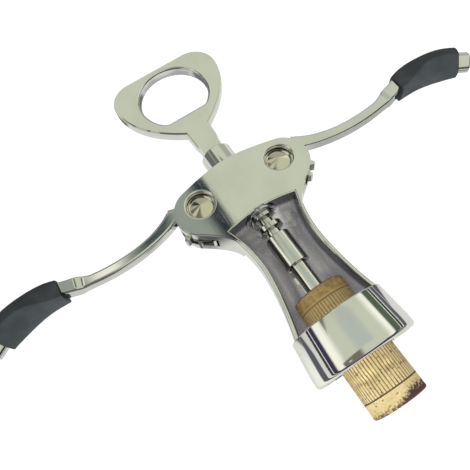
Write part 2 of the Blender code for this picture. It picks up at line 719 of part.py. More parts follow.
def wire(centres, radius, point_length):
    """A round wire along a line of centres, tapered to a point over its last stretch."""
    run = [0.0]
    for a, b in zip(centres, centres[1:]):
        run.append(run[-1] + (b - a).length)
    sections = []
    side = Vector((1, 0, 0))
    for i, centre in enumerate(centres):
        tangent = centres[min(i + 1, len(centres) - 1)] - centres[max(i - 1, 0)]
        tangent.normalize()
        side = (side - tangent * side.dot(tangent)).normalized()
        across = tangent.cross(side)
        here = radius
        if point_length:
            share = min(1, (run[-1] - run[i]) / point_length)
            here = radius * (WORM_POINT_SHARE + (1 - WORM_POINT_SHARE) * share)
        section = []
        for corner in range(WORM_SIDES):
            angle = 2 * math.pi * corner / WORM_SIDES
            outward = side * math.cos(angle) + across * math.sin(angle)
            section.append(tuple(centre + outward * here))
        sections.append(section)
    return turned_outward(loft(sections))


def build_worm_and_cork(axis, steel, cork_material):
    """The worm is one wound wire, and the cork that it has pierced is still on it."""
    centres = worm_centres()
    make_object("worm", wire(centres, WORM_WIRE_RADIUS, WORM_POINT_LENGTH), axis, steel)
    cork_profile = [
        (0, CORK_BOTTOM),
        (CORK_RADIUS - CORK_EDGE, CORK_BOTTOM),
        (CORK_RADIUS, CORK_BOTTOM + CORK_EDGE),
        (CORK_RADIUS, CORK_TOP - CORK_EDGE),
        (CORK_RADIUS - CORK_EDGE, CORK_TOP),
        (0, CORK_TOP),
    ]
    cork_body = turned_outward(revolve(cork_profile, TURNED_SEGMENTS))
    cork = make_object("cork", cork_body, axis, cork_material)
    past_point = centres[-1] + (centres[-1] - centres[-2]).normalized() * SEAT_GAP
    tunnel = wire(centres + [past_point], WORM_WIRE_RADIUS + SEAT_GAP, 0)
    combine(cork, make_object("cut_worm_tunnel", tunnel, axis), "DIFFERENCE")


def handle_outline():
    """Front view of the opener: straight top, two round ears, and hips drawn in to the stem."""
    ear_y = HANDLE_TOP - EAR_RADIUS
    ear = round_arc((EAR_OUTWARD, ear_y), EAR_RADIUS, math.pi / 2, 0)
    hip = bezier_points([
        ear[-1],
        (ear[-1][0], ear_y - HIP_DROP),
        (ear[-1][0] - HIP_INWARD, STEM_TOP + HIP_RISE),
        (STEM_TOP_HALF_WIDTH, STEM_TOP),
    ])
    foot = (STEM_HALF_WIDTH, COLLAR_TOP - COLLAR_OVERLAP)
    right = ear + hip[1:] + [foot]
    clockwise = right + [(-x, y) for x, y in reversed(right)]
    return clockwise[::-1]


def hole_outline():
    """D-shaped hole of the opener, its chord toward the stem."""
    half_angle = math.acos(HOLE_CHORD_DROP / HOLE_RADIUS)
    start = -math.pi / 2 + half_angle
    corner = HOLE_CORNER / HOLE_RADIUS
    arc = round_arc((0, HOLE_HEIGHT), HOLE_RADIUS, start + corner, math.pi - start - corner)
    chord = HOLE_HEIGHT - HOLE_CHORD_DROP
    chord_half = HOLE_RADIUS * math.sin(half_angle) - HOLE_CORNER
    return [(chord_half, chord)] + arc + [(-chord_half, chord)]


def build_handle(axis, material):
    """Flat bottle opener on a bar that ends in a round collar on the line of the rack."""
    plate = prism(handle_outline(), -HANDLE_HALF_THICKNESS, HANDLE_HALF_THICKNESS, HANDLE_EDGE)
    handle = make_object("opener_handle", plate, axis, material)
    collar_profile = [
        (0, COLLAR_BOTTOM),
        (RACK_RADIUS, COLLAR_BOTTOM),
        (RACK_RADIUS, COLLAR_TOP),
        (0, COLLAR_TOP),
    ]
    collar = turned_outward(revolve(collar_profile, TURNED_SEGMENTS))
    combine(handle, make_object("cut_round_collar", collar, axis), "UNION")
    reach = HANDLE_HALF_THICKNESS + CUT_OVERRUN
    hole = prism(hole_outline(), -reach, reach)
    combine(handle, make_object("cut_opener_hole", hole, axis), "DIFFERENCE")
    socket_radius = TENON_RADIUS + SEAT_GAP
    socket_top = COLLAR_BOTTOM + TENON_LENGTH + SEAT_GAP
    socket_profile = [
        (0, COLLAR_BOTTOM - CUT_OVERRUN),
        (socket_radius, COLLAR_BOTTOM - CUT_OVERRUN),
        (socket_radius, socket_top),
        (0, socket_top),
    ]
    socket = turned_outward(revolve(socket_profile, SMALL_ROUND_SEGMENTS))
    combine(handle, make_object("cut_tenon_socket", socket, axis), "DIFFERENCE")


def involute(angle):
    return math.tan(angle) - angle


def tooth_points(middle):
    """One gear tooth, as points from its first root corner to its last, anticlockwise."""
    base_radius = GEAR_PITCH_RADIUS * math.cos(PRESSURE_ANGLE)
    half_at_base = GEAR_TOOTH_THICKNESS / (2 * GEAR_PITCH_RADIUS) + involute(PRESSURE_ANGLE)
    flank = [(GEAR_ROOT_RADIUS, half_at_base)]
    for i in range(FLANK_POINTS):
        radius = base_radius + (GEAR_TIP_RADIUS - base_radius) * i / (FLANK_POINTS - 1)
        flank.append((radius, half_at_base - involute(math.acos(base_radius / radius))))
    rising = [(radius, middle - half) for radius, half in flank]
    falling = [(radius, middle + half) for radius, half in reversed(flank)]
    return [(r * math.cos(a), r * math.sin(a)) for r, a in rising + falling]


def head_outline():
    """Gear head of the right lever round its pivot, with a plain crest beside the arm."""
    pitch = 2 * math.pi / TOOTH_COUNT
    first = math.pi - (TEETH_ABOVE - 0.5) * pitch
    crest = round_arc((0, 0), HEAD_CREST_RADIUS, -math.pi / TOOTH_COUNT, first - pitch / 2)
    outline = crest
    for index in range(TEETH_ABOVE + TEETH_BELOW):
        outline += tooth_points(first + index * pitch)
    last = first + (TEETH_ABOVE + TEETH_BELOW - 1) * pitch
    end = last + pitch / 2
    outline.append((GEAR_ROOT_RADIUS * math.cos(end), GEAR_ROOT_RADIUS * math.sin(end)))
    return outline


def arm_controls():
    """Control points of the arm's line, from the yoke to the grip."""
    middle = [
        (ARM_REACH * share, rise) for share, rise in zip(ARM_CONTROL_SHARES, ARM_CONTROL_RISES)
    ]
    return [ARM_ROOT] + middle + [(ARM_REACH, ARM_TIP_RISE)]


def grip_controls():
    """Control points of the grip's line, which goes on from the arm's."""
    middle = [
        (ARM_REACH + GRIP_REACH * share, rise)
        for share, rise in zip(GRIP_CONTROL_SHARES, GRIP_CONTROL_RISES)
    ]
    return [(ARM_REACH, ARM_TIP_RISE)] + middle + [(ARM_REACH + GRIP_REACH, GRIP_TIP_RISE)]


def web_outline():
    """Flat web that leads from the gear head out between the plates to the arm."""
    start, end = Vector(WEB_START), Vector(ARM_ROOT)
    along = (end - start).normalized()
    across = Vector((-along.y, along.x)) * (ARM_ROOT_HALF_WIDTH - SEAT_GAP)
    reach = end + along * ARM_ROOT_HALF_WIDTH / 2
    return [tuple(corner) for corner in (
        start - across, reach - across, reach + across, start + across,
    )]


def path_frames(controls, count, squared_end):
    """Share, centre, direction and sideways direction at even steps along a Bezier path.

    Toward one end the sideways direction turns square to the lever's length, so that the faces
    of arm and grip that meet there are parallel.
    """
    frames = []
    step = DIRECTION_SHARE / count
    for i in range(count):
        share = i / (count - 1)
        ahead = bezier(controls, min(1, share + step))
        behind = bezier(controls, max(0, share - step))
        along = (ahead - behind).normalized()
        across = Vector((-along.y, along.x))
        square = ease(1 - abs(share - squared_end) / SQUARED_SHARE)
        across = across.lerp(Vector((0, 1)), square).normalized()
        frames.append((share, bezier(controls, share), along, across))
    return frames


def flat_section(centre, across, shares, half_width, half_thickness):
    """A section given by shares on its front half, repeated at the back."""
    front = [(u * half_width, v * half_thickness) for u, v in shares]
    back = [(u, -v) for u, v in reversed(front)]
    ring = front + [corner for corner in back if corner not in front]
    return [(*(centre + across * u), v) for u, v in ring]


def arm_frames():
    return path_frames(arm_controls(), ARM_STATIONS, 1)


def grip_frames():
    return path_frames(grip_controls(), GRIP_STATIONS, 0)


def arm_half_width(share):
    """Broad at the yoke, slim along the sweep."""
    flare = (1 - min(1, share / ARM_ROOT_SHARE)) ** ROOT_FLARE_POWER
    return ARM_WAIST_HALF_WIDTH + (ARM_ROOT_HALF_WIDTH - ARM_WAIST_HALF_WIDTH) * flare


def arm_body():
    """Swept flat arm that swells to the block in front of the grip."""
    sections = []
    length = ARM_REACH - ARM_ROOT[0]
    for share, centre, _, across in arm_frames():
        swell = ease((share - 1) * length / BLOCK_LENGTH + 2)
        width = arm_half_width(share)
        width += (BLOCK_HALF_WIDTH - width) * swell
        thickness = ARM_HALF_THICKNESS + (BLOCK_HALF_THICKNESS - ARM_HALF_THICKNESS) * swell
        middle = centre + across * BLOCK_RISE * swell
        sections.append(flat_section(middle, across, ARM_SECTION_SHARES, width, thickness))
    return turned_outward(loft(sections))


def tang_body(gap, past):
    """Tang inside the grip, or with a gap the room that it needs."""
    frames = grip_frames()
    ends = frames[0], frames[-1]
    back = ends[0][1] - ends[0][2] * (BLOCK_LENGTH / 2)
    front = ends[1][1] + ends[1][2] * past
    stations = [(back, ends[0][3])] + [(centre, across) for _, centre, _, across in frames]
    stations.append((front, ends[1][3]))
    return turned_outward(loft([
        flat_section(centre, across, ARM_SECTION_SHARES, TANG_HALF_WIDTH + gap,
                     TANG_HALF_THICKNESS + gap)
        for centre, across in stations
    ]))


def grip_body():
    """Curved grip with a soft ridge along each broad face, set off from the block by a gap."""
    sections = []
    for share, centre, _, across in grip_frames():
        swell = table_value(GRIP_SWELL_SHARES, share)
        width = GRIP_ROOT_HALF_WIDTH + (GRIP_HALF_WIDTH - GRIP_ROOT_HALF_WIDTH) * swell
        thickness = GRIP_ROOT_HALF_THICKNESS
        thickness += (GRIP_HALF_THICKNESS - GRIP_ROOT_HALF_THICKNESS) * swell
        if share == 0:
            centre = centre + Vector((SEAT_GAP, 0))
        sections.append(flat_section(centre, across, GRIP_SECTION_SHARES, width, thickness))
    return turned_outward(loft(sections))


def cap_body():
    """Bright button on the end of the grip, over the tip of the tang."""
    _, centre, along, across = grip_frames()[-1]
    start = centre + along * SEAT_GAP
    sections = []
    for share in CAP_STATION_SHARES:
        width = CAP_HALF_WIDTH + (CAP_END_HALF_WIDTH - CAP_HALF_WIDTH) * ease(share)
        thickness = CAP_HALF_THICKNESS * width / CAP_HALF_WIDTH
        middle = start + along * CAP_LENGTH * share
        sections.append(flat_section(middle, across, GRIP_SECTION_SHARES, width, thickness))
    return turned_outward(loft(sections))


def build_lever(word, pivot, flip, steel, rubber, chrome):
    """Gear head, arm, grip and end cap of one wing; the left one mirrors the right one."""
    head = prism(head_outline(), -HEAD_HALF_THICKNESS, HEAD_HALF_THICKNESS)
    lever = make_object(f"{word}_lever", flip(head), pivot, steel)
    web_half = HEAD_HALF_THICKNESS - WEB_THINNING
    web = prism(web_outline(), -web_half, web_half)
    combine(lever, make_object(f"cut_{word}_web", flip(web), pivot), "UNION")
    combine(lever, make_object(f"cut_{word}_arm", flip(arm_body()), pivot), "UNION")
    tang = tang_body(0, TANG_PAST_GRIP)
    combine(lever, make_object(f"cut_{word}_tang", flip(tang), pivot), "UNION")
    bore_radius = PIN_RADIUS + RUNNING_GAP
    reach = ARM_HALF_THICKNESS + CUT_OVERRUN
    bore = [(0, -reach), (bore_radius, -reach), (bore_radius, reach), (0, reach)]
    cutter = turned_outward(turned_flat(revolve(bore, SMALL_ROUND_SEGMENTS), 0, 0))
    combine(lever, make_object(f"cut_{word}_bore", cutter, pivot), "DIFFERENCE")
    room_body = flip(tang_body(SEAT_GAP, TANG_PAST_GRIP + SEAT_GAP))
    room = make_object(f"cut_{word}_tang_room", room_body, pivot)
    grip = make_object(f"{word}_grip", flip(grip_body()), pivot, rubber)
    combine(grip, room, "DIFFERENCE")
    cap = make_object(f"{word}_end_cap", flip(cap_body()), pivot, chrome)
    combine(cap, room, "DIFFERENCE")


def main():
    clear_scene()
    casting_chrome = make_material("chromed zinc casting", (0.80, 0.81, 0.79), 0.12, 1.0)
    lever_chrome = make_material("chromed lever", (0.78, 0.79, 0.77), 0.14, 1.0)
    steel = make_material("bright steel", (0.74, 0.75, 0.72), 0.18, 1.0)
    pin_steel = make_material("domed pin steel", (0.76, 0.74, 0.66), 0.16, 1.0)
    bush_steel = make_material("bush steel", (0.62, 0.63, 0.66), 0.20, 1.0)
    cap_chrome = make_material("end cap chrome", (0.82, 0.82, 0.81), 0.12, 1.0)
    rubber = make_material("soft black grip", (0.035, 0.038, 0.042), 0.55, 0.0)
    cork_material = make_material("cork", (0.62, 0.44, 0.22), 0.85, 0.0)

    assembly = make_empty("corkscrew", None, (0, -MIDDLE, AXIS_HEIGHT))
    axis = make_empty("spindle_axis", assembly, (0, 0, 0))
    right_pivot = make_empty("right_pivot", assembly, (PIN_OUTWARD, PIN_HEIGHT, 0))
    left_pivot = make_empty("left_pivot", assembly, (-PIN_OUTWARD, PIN_HEIGHT, 0))

    build_casting(assembly, casting_chrome)
    build_pins(assembly, pin_steel)
    build_bush(axis, bush_steel)
    build_spindle(axis, steel)
    build_worm_and_cork(axis, steel, cork_material)
    build_handle(axis, casting_chrome)
    build_lever("right", right_pivot, turned_outward, lever_chrome, rubber, cap_chrome)
    build_lever("left", left_pivot, mirrored_outward, lever_chrome, rubber, cap_chrome)


if __name__ == "__main__":
    main()
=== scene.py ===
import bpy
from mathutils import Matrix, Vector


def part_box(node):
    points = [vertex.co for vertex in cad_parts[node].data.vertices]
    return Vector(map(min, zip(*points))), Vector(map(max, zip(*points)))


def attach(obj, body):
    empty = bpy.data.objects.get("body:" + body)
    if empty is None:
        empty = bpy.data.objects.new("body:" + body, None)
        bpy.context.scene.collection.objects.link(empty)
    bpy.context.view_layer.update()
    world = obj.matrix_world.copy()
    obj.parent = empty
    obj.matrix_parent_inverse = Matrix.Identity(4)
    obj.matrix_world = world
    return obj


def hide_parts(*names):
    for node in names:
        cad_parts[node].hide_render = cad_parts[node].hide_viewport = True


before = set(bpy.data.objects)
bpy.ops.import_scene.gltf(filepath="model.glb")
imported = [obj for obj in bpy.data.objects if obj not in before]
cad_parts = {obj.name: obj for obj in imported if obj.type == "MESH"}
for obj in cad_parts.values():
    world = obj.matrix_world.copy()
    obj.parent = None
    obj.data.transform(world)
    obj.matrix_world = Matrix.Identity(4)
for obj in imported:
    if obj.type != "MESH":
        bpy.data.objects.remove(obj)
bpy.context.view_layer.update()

import math

import bmesh
import bpy
import numpy as np
from mathutils import Matrix, Vector, noise

# Finishes and fine surfaces of a wing corkscrew that lies on its back. Each piece is made round
# the same axis as its solid: x outward, y along the spindle from the bell's mouth, z up.

MM = 0.001
DEGREE = math.pi / 180

# Places read from the frame
AXIS_Z = (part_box("rack_spindle")[0].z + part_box("rack_spindle")[1].z) / 2
MOUTH_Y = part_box("frame_casting")[0].y
AXIS_PLACE = Vector((0, MOUTH_Y, AXIS_Z))
PIN_LOW, PIN_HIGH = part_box("right_pivot_pin")
PIN_OUTWARD = (PIN_LOW.x + PIN_HIGH.x) / 2
PIN_HEIGHT = (PIN_LOW.y + PIN_HIGH.y) / 2 - MOUTH_Y
CORK_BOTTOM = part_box("cork")[0].y - MOUTH_Y
CORK_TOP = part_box("cork")[1].y - MOUTH_Y
SLEEVE_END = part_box("rack_spindle")[0].y - MOUTH_Y
HANDLE_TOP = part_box("opener_handle")[1].y - MOUTH_Y
COLLAR_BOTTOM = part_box("opener_handle")[0].y - MOUTH_Y
BUSH_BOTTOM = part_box("guide_bush")[0].y - MOUTH_Y
BUSH_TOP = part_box("guide_bush")[1].y - MOUTH_Y

# Fits and cuts
GAP = 0.3 * MM
OVERRUN = 2.0 * MM

# Gear and rack
TOOTH_COUNT = 16
GEAR_PITCH_RADIUS = 14.9 * MM
GEAR_TIP_RADIUS = 15.9 * MM
GEAR_ROOT_RADIUS = 13.2 * MM
GEAR_TOOTH_THICKNESS = 1.95 * MM
PRESSURE_ANGLE = 20 * DEGREE
TEETH_ABOVE = 2
TEETH_BELOW = 7
RACK_RADIUS = 5.6 * MM
RACK_NECK_RADIUS = 3.4 * MM
RACK_OUTER_HALF_GROOVE = 1.7 * MM
RACK_NECK_HALF_GROOVE = 0.9 * MM
RACK_GROOVES_ABOVE = 2
RACK_GROOVES_BELOW = 5
RACK_PITCH = 2 * math.pi * GEAR_PITCH_RADIUS / TOOTH_COUNT
RACK_EDGE = 0.18 * MM
BORE_RADIUS = RACK_RADIUS + GAP

# Casting
BELL_LENGTH = 18.8 * MM
BELL_LIP_RADIUS = 21.65 * MM
BELL_RIM_RADIUS = 20.3 * MM
BELL_WALL = 2.0 * MM
BELL_LIP_HEIGHT = 4.4 * MM
BELL_LIP_ROUND = 1.6 * MM
BELL_LIP_FLAT = 1.4 * MM
BELL_RIM_ROUND = 0.5 * MM
LEDGE_HEIGHT = 12.6 * MM
LEDGE_THICKNESS = 2.0 * MM
LEDGE_RADIUS = 13.0 * MM
CORK_RADIUS = 11.1 * MM
BODY_WALL = 2.1 * MM
BODY_STEP_AT_RIM = 1.3 * MM
BODY_EDGE = 0.95 * MM
WAIST_HEIGHT = 49.0 * MM
WAIST_HALF_WIDTH = 14.1 * MM
WALL_FRONT_AT_BELL = 5.2 * MM
WALL_FRONT = 7.5 * MM
BODY_TOP_HALF_WIDTH = 19.0 * MM
BODY_BACK_START = 51.5 * MM
WINDOW_TOP_SIDE = 69.1 * MM
WINDOW_TOP_CENTRE = 71.4 * MM
BODY_BACK_END = 73.5 * MM
BELL_FLARE_POWER = 1.7
YOKE_HALF_DEPTH = 7.9 * MM
YOKE_TOP = 100.0 * MM
YOKE_EDGE = 0.6 * MM
YOKE_SHOULDER_CONTROL = 8.0 * MM
YOKE_FOOT = 62.0 * MM
NECK_TOP = 108.8 * MM
NECK_RADIUS = 7.4 * MM
NECK_EDGE = 0.5 * MM
NECK_BORE_RADIUS = 6.75 * MM
BOSS_RADIUS = 11.75 * MM
BOSS_OUTWARD = 0.9 * MM
BOSS_DROP = 2.3 * MM
BOSS_ARC_START = 75 * DEGREE
BOSS_ARC_END = -55 * DEGREE
BOSS_X = PIN_OUTWARD + BOSS_OUTWARD
BOSS_Y = PIN_HEIGHT - BOSS_DROP
SLOT_HALF = 3.2 * MM
BUSH_WALL = 0.7 * MM
BUSH_FLANGE_WIDTH = 0.8 * MM
BUSH_FLANGE_THICKNESS = 1.5 * MM
BUSH_LIP = 0.4 * MM
BUSH_LIP_LENGTH = 0.9 * MM

# Pins
PIN_RADIUS = 3.0 * MM
PIN_HEAD_RADIUS = 5.7 * MM
PIN_HEAD_EDGE = 0.8 * MM
PIN_HEAD_ROUND = 0.7 * MM
PIN_DOME = 1.7 * MM
PIN_CONE_POWER = 0.92
PIN_RECESS = 3.2 * MM
PIN_SPIGOT_RADIUS = 1.8 * MM
PIN_SPIGOT_LENGTH = 1.4 * MM
PIN_SHOULDER_TURN = 0.42 * math.pi
RECESS_ROUND = 1.1 * MM

# Shank, cork and opener
SHANK_RADIUS = 3.75 * MM
SHANK_SEAT_DEPTH = 9.0 * MM
WORM_SEAT_DEPTH = 10.0 * MM
WORM_SOCKET_RADIUS = 1.8 * MM
TENON_RADIUS = 2.6 * MM
TENON_LENGTH = 9.0 * MM
SLEEVE_EDGE = 0.5 * MM
CORK_EDGE = 0.7 * MM
HANDLE_HALF_THICKNESS = 2.8 * MM
HANDLE_EDGE = 0.75 * MM
EAR_RADIUS = 11.8 * MM
EAR_OUTWARD = 16.3 * MM
STEM_TOP = 125.3 * MM
STEM_TOP_HALF_WIDTH = 6.1 * MM
STEM_HALF_WIDTH = 5.4 * MM
STEM_TURNED_RADIUS = 5.3 * MM
STEM_TURNED_LENGTH = 17.0 * MM
STEM_FLARE = 3.0 * MM
HIP_DROP = 14.0 * MM
HIP_INWARD = 10.2 * MM
HIP_RISE = 7.7 * MM
HOLE_RADIUS = 17.2 * MM
HOLE_HEIGHT = 149.2 * MM
HOLE_CHORD_DROP = 13.7 * MM
HOLE_CORNER = 1.5 * MM
HOLE_EDGE = 1.3 * MM
COLLAR_TOP = 107.6 * MM
COLLAR_OVERLAP = 1.0 * MM

# Levers, from the pivot
HEAD_HALF_THICKNESS = 2.6 * MM
HEAD_EDGE = 0.15 * MM
HEAD_CREST_RADIUS = 9.2 * MM
ARM_HALF_THICKNESS = 2.85 * MM
ARM_ROOT = (12.2 * MM, 5.4 * MM)
ARM_REACH = 67.6 * MM
ARM_TIP_RISE = 2.7 * MM
ARM_CONTROL_SHARES = (0.4, 0.763)
ARM_CONTROL_RISES = (-3.6 * MM, -3.2 * MM)
ARM_ROOT_HALF_WIDTH = 3.2 * MM
ARM_WAIST_HALF_WIDTH = 2.4 * MM
ARM_ROOT_SHARE = 0.4
ARM_ROUND = 1.2 * MM
WEB_START = (3.0 * MM, 3.0 * MM)
WEB_THINNING = 0.1 * MM
BLOCK_LENGTH = 7.0 * MM
BLOCK_RISE = 0.4 * MM
BLOCK_HALF_WIDTH = 3.2 * MM
BLOCK_HALF_THICKNESS = 3.7 * MM
SCOOP_LENGTH = 2.4 * MM
ARM_RUN_IN = 4.5 * MM
GRIP_REACH = 31.6 * MM
GRIP_TIP_RISE = -2.1 * MM
GRIP_CONTROL_SHARES = (0.313, 0.75)
GRIP_CONTROL_RISES = (4.4 * MM, 3.0 * MM)
GRIP_ROOT_HALF_WIDTH = 4.7 * MM
GRIP_HALF_WIDTH = 7.6 * MM
GRIP_ROOT_HALF_THICKNESS = 4.9 * MM
GRIP_HALF_THICKNESS = 6.8 * MM
GRIP_EDGE = 0.7 * MM
TANG_HALF_WIDTH = 2.2 * MM
TANG_HALF_THICKNESS = 1.5 * MM
TANG_PAST_GRIP = 2.6 * MM
CAP_LENGTH = 5.4 * MM
CAP_HALF_WIDTH = 4.9 * MM
CAP_HALF_THICKNESS = 4.5 * MM
CAP_END_HALF_WIDTH = 3.9 * MM
CAP_EDGE = 0.9 * MM
GRIP_SWELL_SHARES = (0.0, 0.38, 0.72, 0.96, 1.0, 0.86)
GRIP_SECTION_SHARES = (
    (1.0, 0.0), (0.98, 0.36), (0.84, 0.66), (0.5, 0.86), (0.06, 1.0), (-0.5, 0.7),
    (-0.93, 0.38), (-1.0, 0.0),
)
GRIP_ROOT_SHARES = (
    (1.0, 0.0), (1.0, 0.5), (0.94, 0.9), (0.4, 0.98), (-0.84, 1.0), (-0.97, 0.7),
    (-1.0, 0.35), (-1.0, 0.0),
)
GRIP_ROOT_EDGE_SHARE = 0.35
RIDGE_CORNER = 4
RIDGE_REACH_SHARE = 0.6
SQUARED_SHARE = 0.2

# Fineness of the surfaces
ROUND_SEGMENTS = 128
TURNED_SEGMENTS = 96
BODY_STATIONS = 56
BODY_BACK_SEGMENTS = 48
ARM_STATIONS = 64
GRIP_STATIONS = 56
FLANK_POINTS = 8
BEZIER_STEPS = 24
EDGE_SEGMENTS = 4
CORK_SEGMENTS = 160
CORK_RINGS = 90
CORK_CAP_RINGS = 14
PATH_STEP = 0.004
CORNER_CUT = 0.25
RIDGE_CUT = 0.05
SOFTENING_ROUNDS = 3
ARC_STEP = 3 * DEGREE
EDGE_ARC_STEP = 12 * DEGREE
SMOOTH_ANGLE = 28 * DEGREE
GRIP_SMOOTH_ANGLE = 40 * DEGREE
CAP_SMOOTH_ANGLE = 24 * DEGREE

# Polished metals: colour, roughness, depth of the faint waves, stretch of the hairlines
METALS = {
    "casting_chrome": ((0.80, 0.81, 0.79), 0.05, 0.015 * MM, (1.0, 0.08, 1.0)),
    "lever_chrome": ((0.78, 0.79, 0.77), 0.06, 0.015 * MM, (0.08, 1.0, 1.0)),
    "bright_steel": ((0.72, 0.73, 0.70), 0.10, 0.01 * MM, (1.0, 0.1, 1.0)),
    "pin_steel": ((0.76, 0.73, 0.62), 0.09, 0.01 * MM, (1.0, 1.0, 0.1)),
    "bush_steel": ((0.60, 0.61, 0.64), 0.14, 0.01 * MM, (1.0, 0.1, 1.0)),
    # The gear's dark steel is painted shade in the gaps of its lower teeth
    "gear_painted_shade": ((0.20, 0.205, 0.20), 0.22, 0.01 * MM, (1.0, 1.0, 0.1)),
    "end_cap_chrome": ((0.82, 0.82, 0.81), 0.06, 0.01 * MM, (0.1, 1.0, 1.0)),
}
METAL_TONE_SCALE = 70.0
METAL_WORN_SHARE = 0.94
METAL_HAIRLINE_SCALE = 900.0
METAL_HAIRLINE_ROUGHNESS = 1.6
METAL_PATCH_SCALE = 120.0
METAL_PATCH_ROUGHNESS = (0.8, 1.35)
METAL_WAVE_SCALE = 45.0
METAL_PEEL_SCALE = 1100.0
METAL_PEEL_DEPTH = 0.0012 * MM

# Plating inside the casting: painted shade darkens the side walls with height, and a painted
# highlight brightens one band of the channel
INSIDE_COLOUR = (0.66, 0.645, 0.67)
INSIDE_WORN = (0.60, 0.585, 0.61)
INSIDE_WORN_SCALE = 60.0
INSIDE_WALL_SHADE = (0.14, 0.14, 0.15)
INSIDE_WALL_SHADE_HEIGHTS = (-2.5 * MM, 1.5 * MM)
INSIDE_PAINTED_HIGHLIGHT = (0.96, 0.95, 0.97)
INSIDE_HIGHLIGHT_BAND = (4.0 * MM, 8.5 * MM, 2.0 * MM, 1.5 * MM)
INSIDE_METALLIC = 0.85
INSIDE_ROUGHNESS = (0.24, 0.30)
INSIDE_ROUGH_SCALE = 400.0
INSIDE_TURN_SHARE = 0.05
INSIDE_LEVEL_NORMAL = 0.98

# Grips
RUBBER_DARK = (0.030, 0.0345, 0.036)
RUBBER_LIGHT = (0.042, 0.047, 0.051)
RUBBER_TONE_SCALE = 160.0
RUBBER_ROUGHNESS = (0.42, 0.58)
RUBBER_ROUGH_SCALE = 500.0
RUBBER_SPECULAR = 0.12
RUBBER_GRAIN_SCALE = 2600.0
RUBBER_GRAIN_DEPTH = 0.04 * MM
RUBBER_WAVE_SCALE = 300.0
RUBBER_WAVE_DEPTH = 0.03 * MM

# Cork: pitted surface, printed lines and rings, darker top band, painted shade where it sits in the
# bell, wine stain
CORK_GRAIN_SCALE = 700.0
CORK_GRAIN_DEPTH = 0.06 * MM
CORK_PIT_SCALE = 260.0
CORK_PIT_LEVEL = 0.32
CORK_PIT_DEPTH = 0.9 * MM
CORK_LIGHT = (0.76, 0.62, 0.335)
CORK_DARK = (0.64, 0.51, 0.25)
CORK_TONE_SCALE = 130.0
CORK_GRAIN = (0.47, 0.34, 0.145)
CORK_GRAIN_SHARE = 0.35
CORK_FINE_SCALE = 1500.0
CORK_SPECK = (0.14, 0.075, 0.03)
CORK_SPECK_SHARE = 0.7
CORK_SPECK_SCALE = 620.0
CORK_PRINT = (0.06, 0.035, 0.018)
CORK_LINE_COUNT = 54.0
CORK_LINE_WOBBLE = 0.004
CORK_LINE_WOBBLE_SCALE = 220.0
CORK_LINE_FADE_SCALE = 400.0
CORK_LINE_END = 0.1 * MM
CORK_RING_LOW = CORK_BOTTOM + 6.0 * MM
CORK_RING_HIGH = CORK_TOP - 5.4 * MM
CORK_RING_WIDTH = 0.33 * MM
CORK_RING_SHARE = 0.92
CORK_TOP_DARK = (0.22, 0.14, 0.05)
CORK_TOP_LIGHT = (0.52, 0.36, 0.14)
CORK_TOP_SCALE = 600.0
CORK_TOP_SHARE = 0.85
CORK_TOP_HEIGHTS = (CORK_RING_HIGH + 0.1 * MM, CORK_RING_HIGH + 1.4 * MM)
# Painted shade on the part of the cork that sits inside the bell
CORK_PAINTED_SHADE = (0.16, 0.105, 0.035)
CORK_SHADE_SHARE = 0.68
CORK_SHADE_HEIGHTS = (BELL_LENGTH - 6.0 * MM, BELL_LENGTH + 3.0 * MM)
CORK_STAIN = (0.06, 0.025, 0.04)
STAIN_SHARE = 0.97
STAIN_SCALE = 90.0
STAIN_SIDES = (-6.0 * MM, 5.0 * MM)
STAIN_REACHES = (1.4 * MM, 3.4 * MM)
STAIN_FRINGE_SCALE = 1100.0
STAIN_FRINGE = 0.9 * MM
STAIN_SOFTNESS = 1.2 * MM
CORK_ROUGHNESS = (0.72, 0.92)
CORK_SPECULAR = 0.25
CORK_BUMP_SCALE = 1800.0
CORK_BUMP_DEPTH = 0.12 * MM
CORK_SPECK_DEPTH = 0.15 * MM
CORK_PRINT_DEPTH = 0.04 * MM

# Camera: its right, down and forward directions and its place, fitted to the photograph
PHOTO_WIDTH = 470
FOCAL_PIXELS = 444.258
SENSOR_WIDTH = 36.0
CAMERA_ROWS = (
    (0.84194952, -0.52839221, -0.10919101),
    (-0.52553042, -0.75725195, -0.38779796),
    (0.12222432, 0.3838895, -0.9152541),
)
CAMERA_PLACE = (-0.037198, -0.078471, 0.194485)

# Light and surroundings; levels are sines of the height over the horizon, turns are radians
LIGHT_STRENGTH = 4.6
LIGHT_SPREAD = 50 * DEGREE
LIGHT_FROM = (-0.25, -0.95, 0.56)
BACKDROP = (1.05, 1.05, 1.05)
DOME = (0.50, 0.50, 0.50)
CEILING = (0.66, 0.69, 0.55)
CEILING_LEVELS = (0.50, 0.72)
WALL_BRIGHT = (1.12, 1.11, 0.98)
WALL_BRIGHT_LEVELS = (0.27, 0.37)
WALL_RIGHT_DROP = 0.09
WALL_SLIT_BAND = (0.1025, 0.1275, 0.0075, 0.0075)
WALL_SIDE_BLEND = (-0.05, 0.05)
WALL_LEFT_LOW = (0.055, 0.045, 0.085)
WALL_RIGHT_LOW = (0.11, 0.14, 0.10)
WALL_FOOT = (0.05, 0.065, 0.05)
WALL_FOOT_LEVELS = (0.05, 0.08)
WALL_FAR_LEFT = (0.16, 0.18, 0.15)
WALL_FAR_RIGHT = (0.46, 0.47, 0.40)
WALL_FAR_TURNS = (0.42, 0.52)
WALL_NEAR = (0.045, 0.045, 0.05)
WALL_NEAR_TURNS = (-0.75, -0.35)
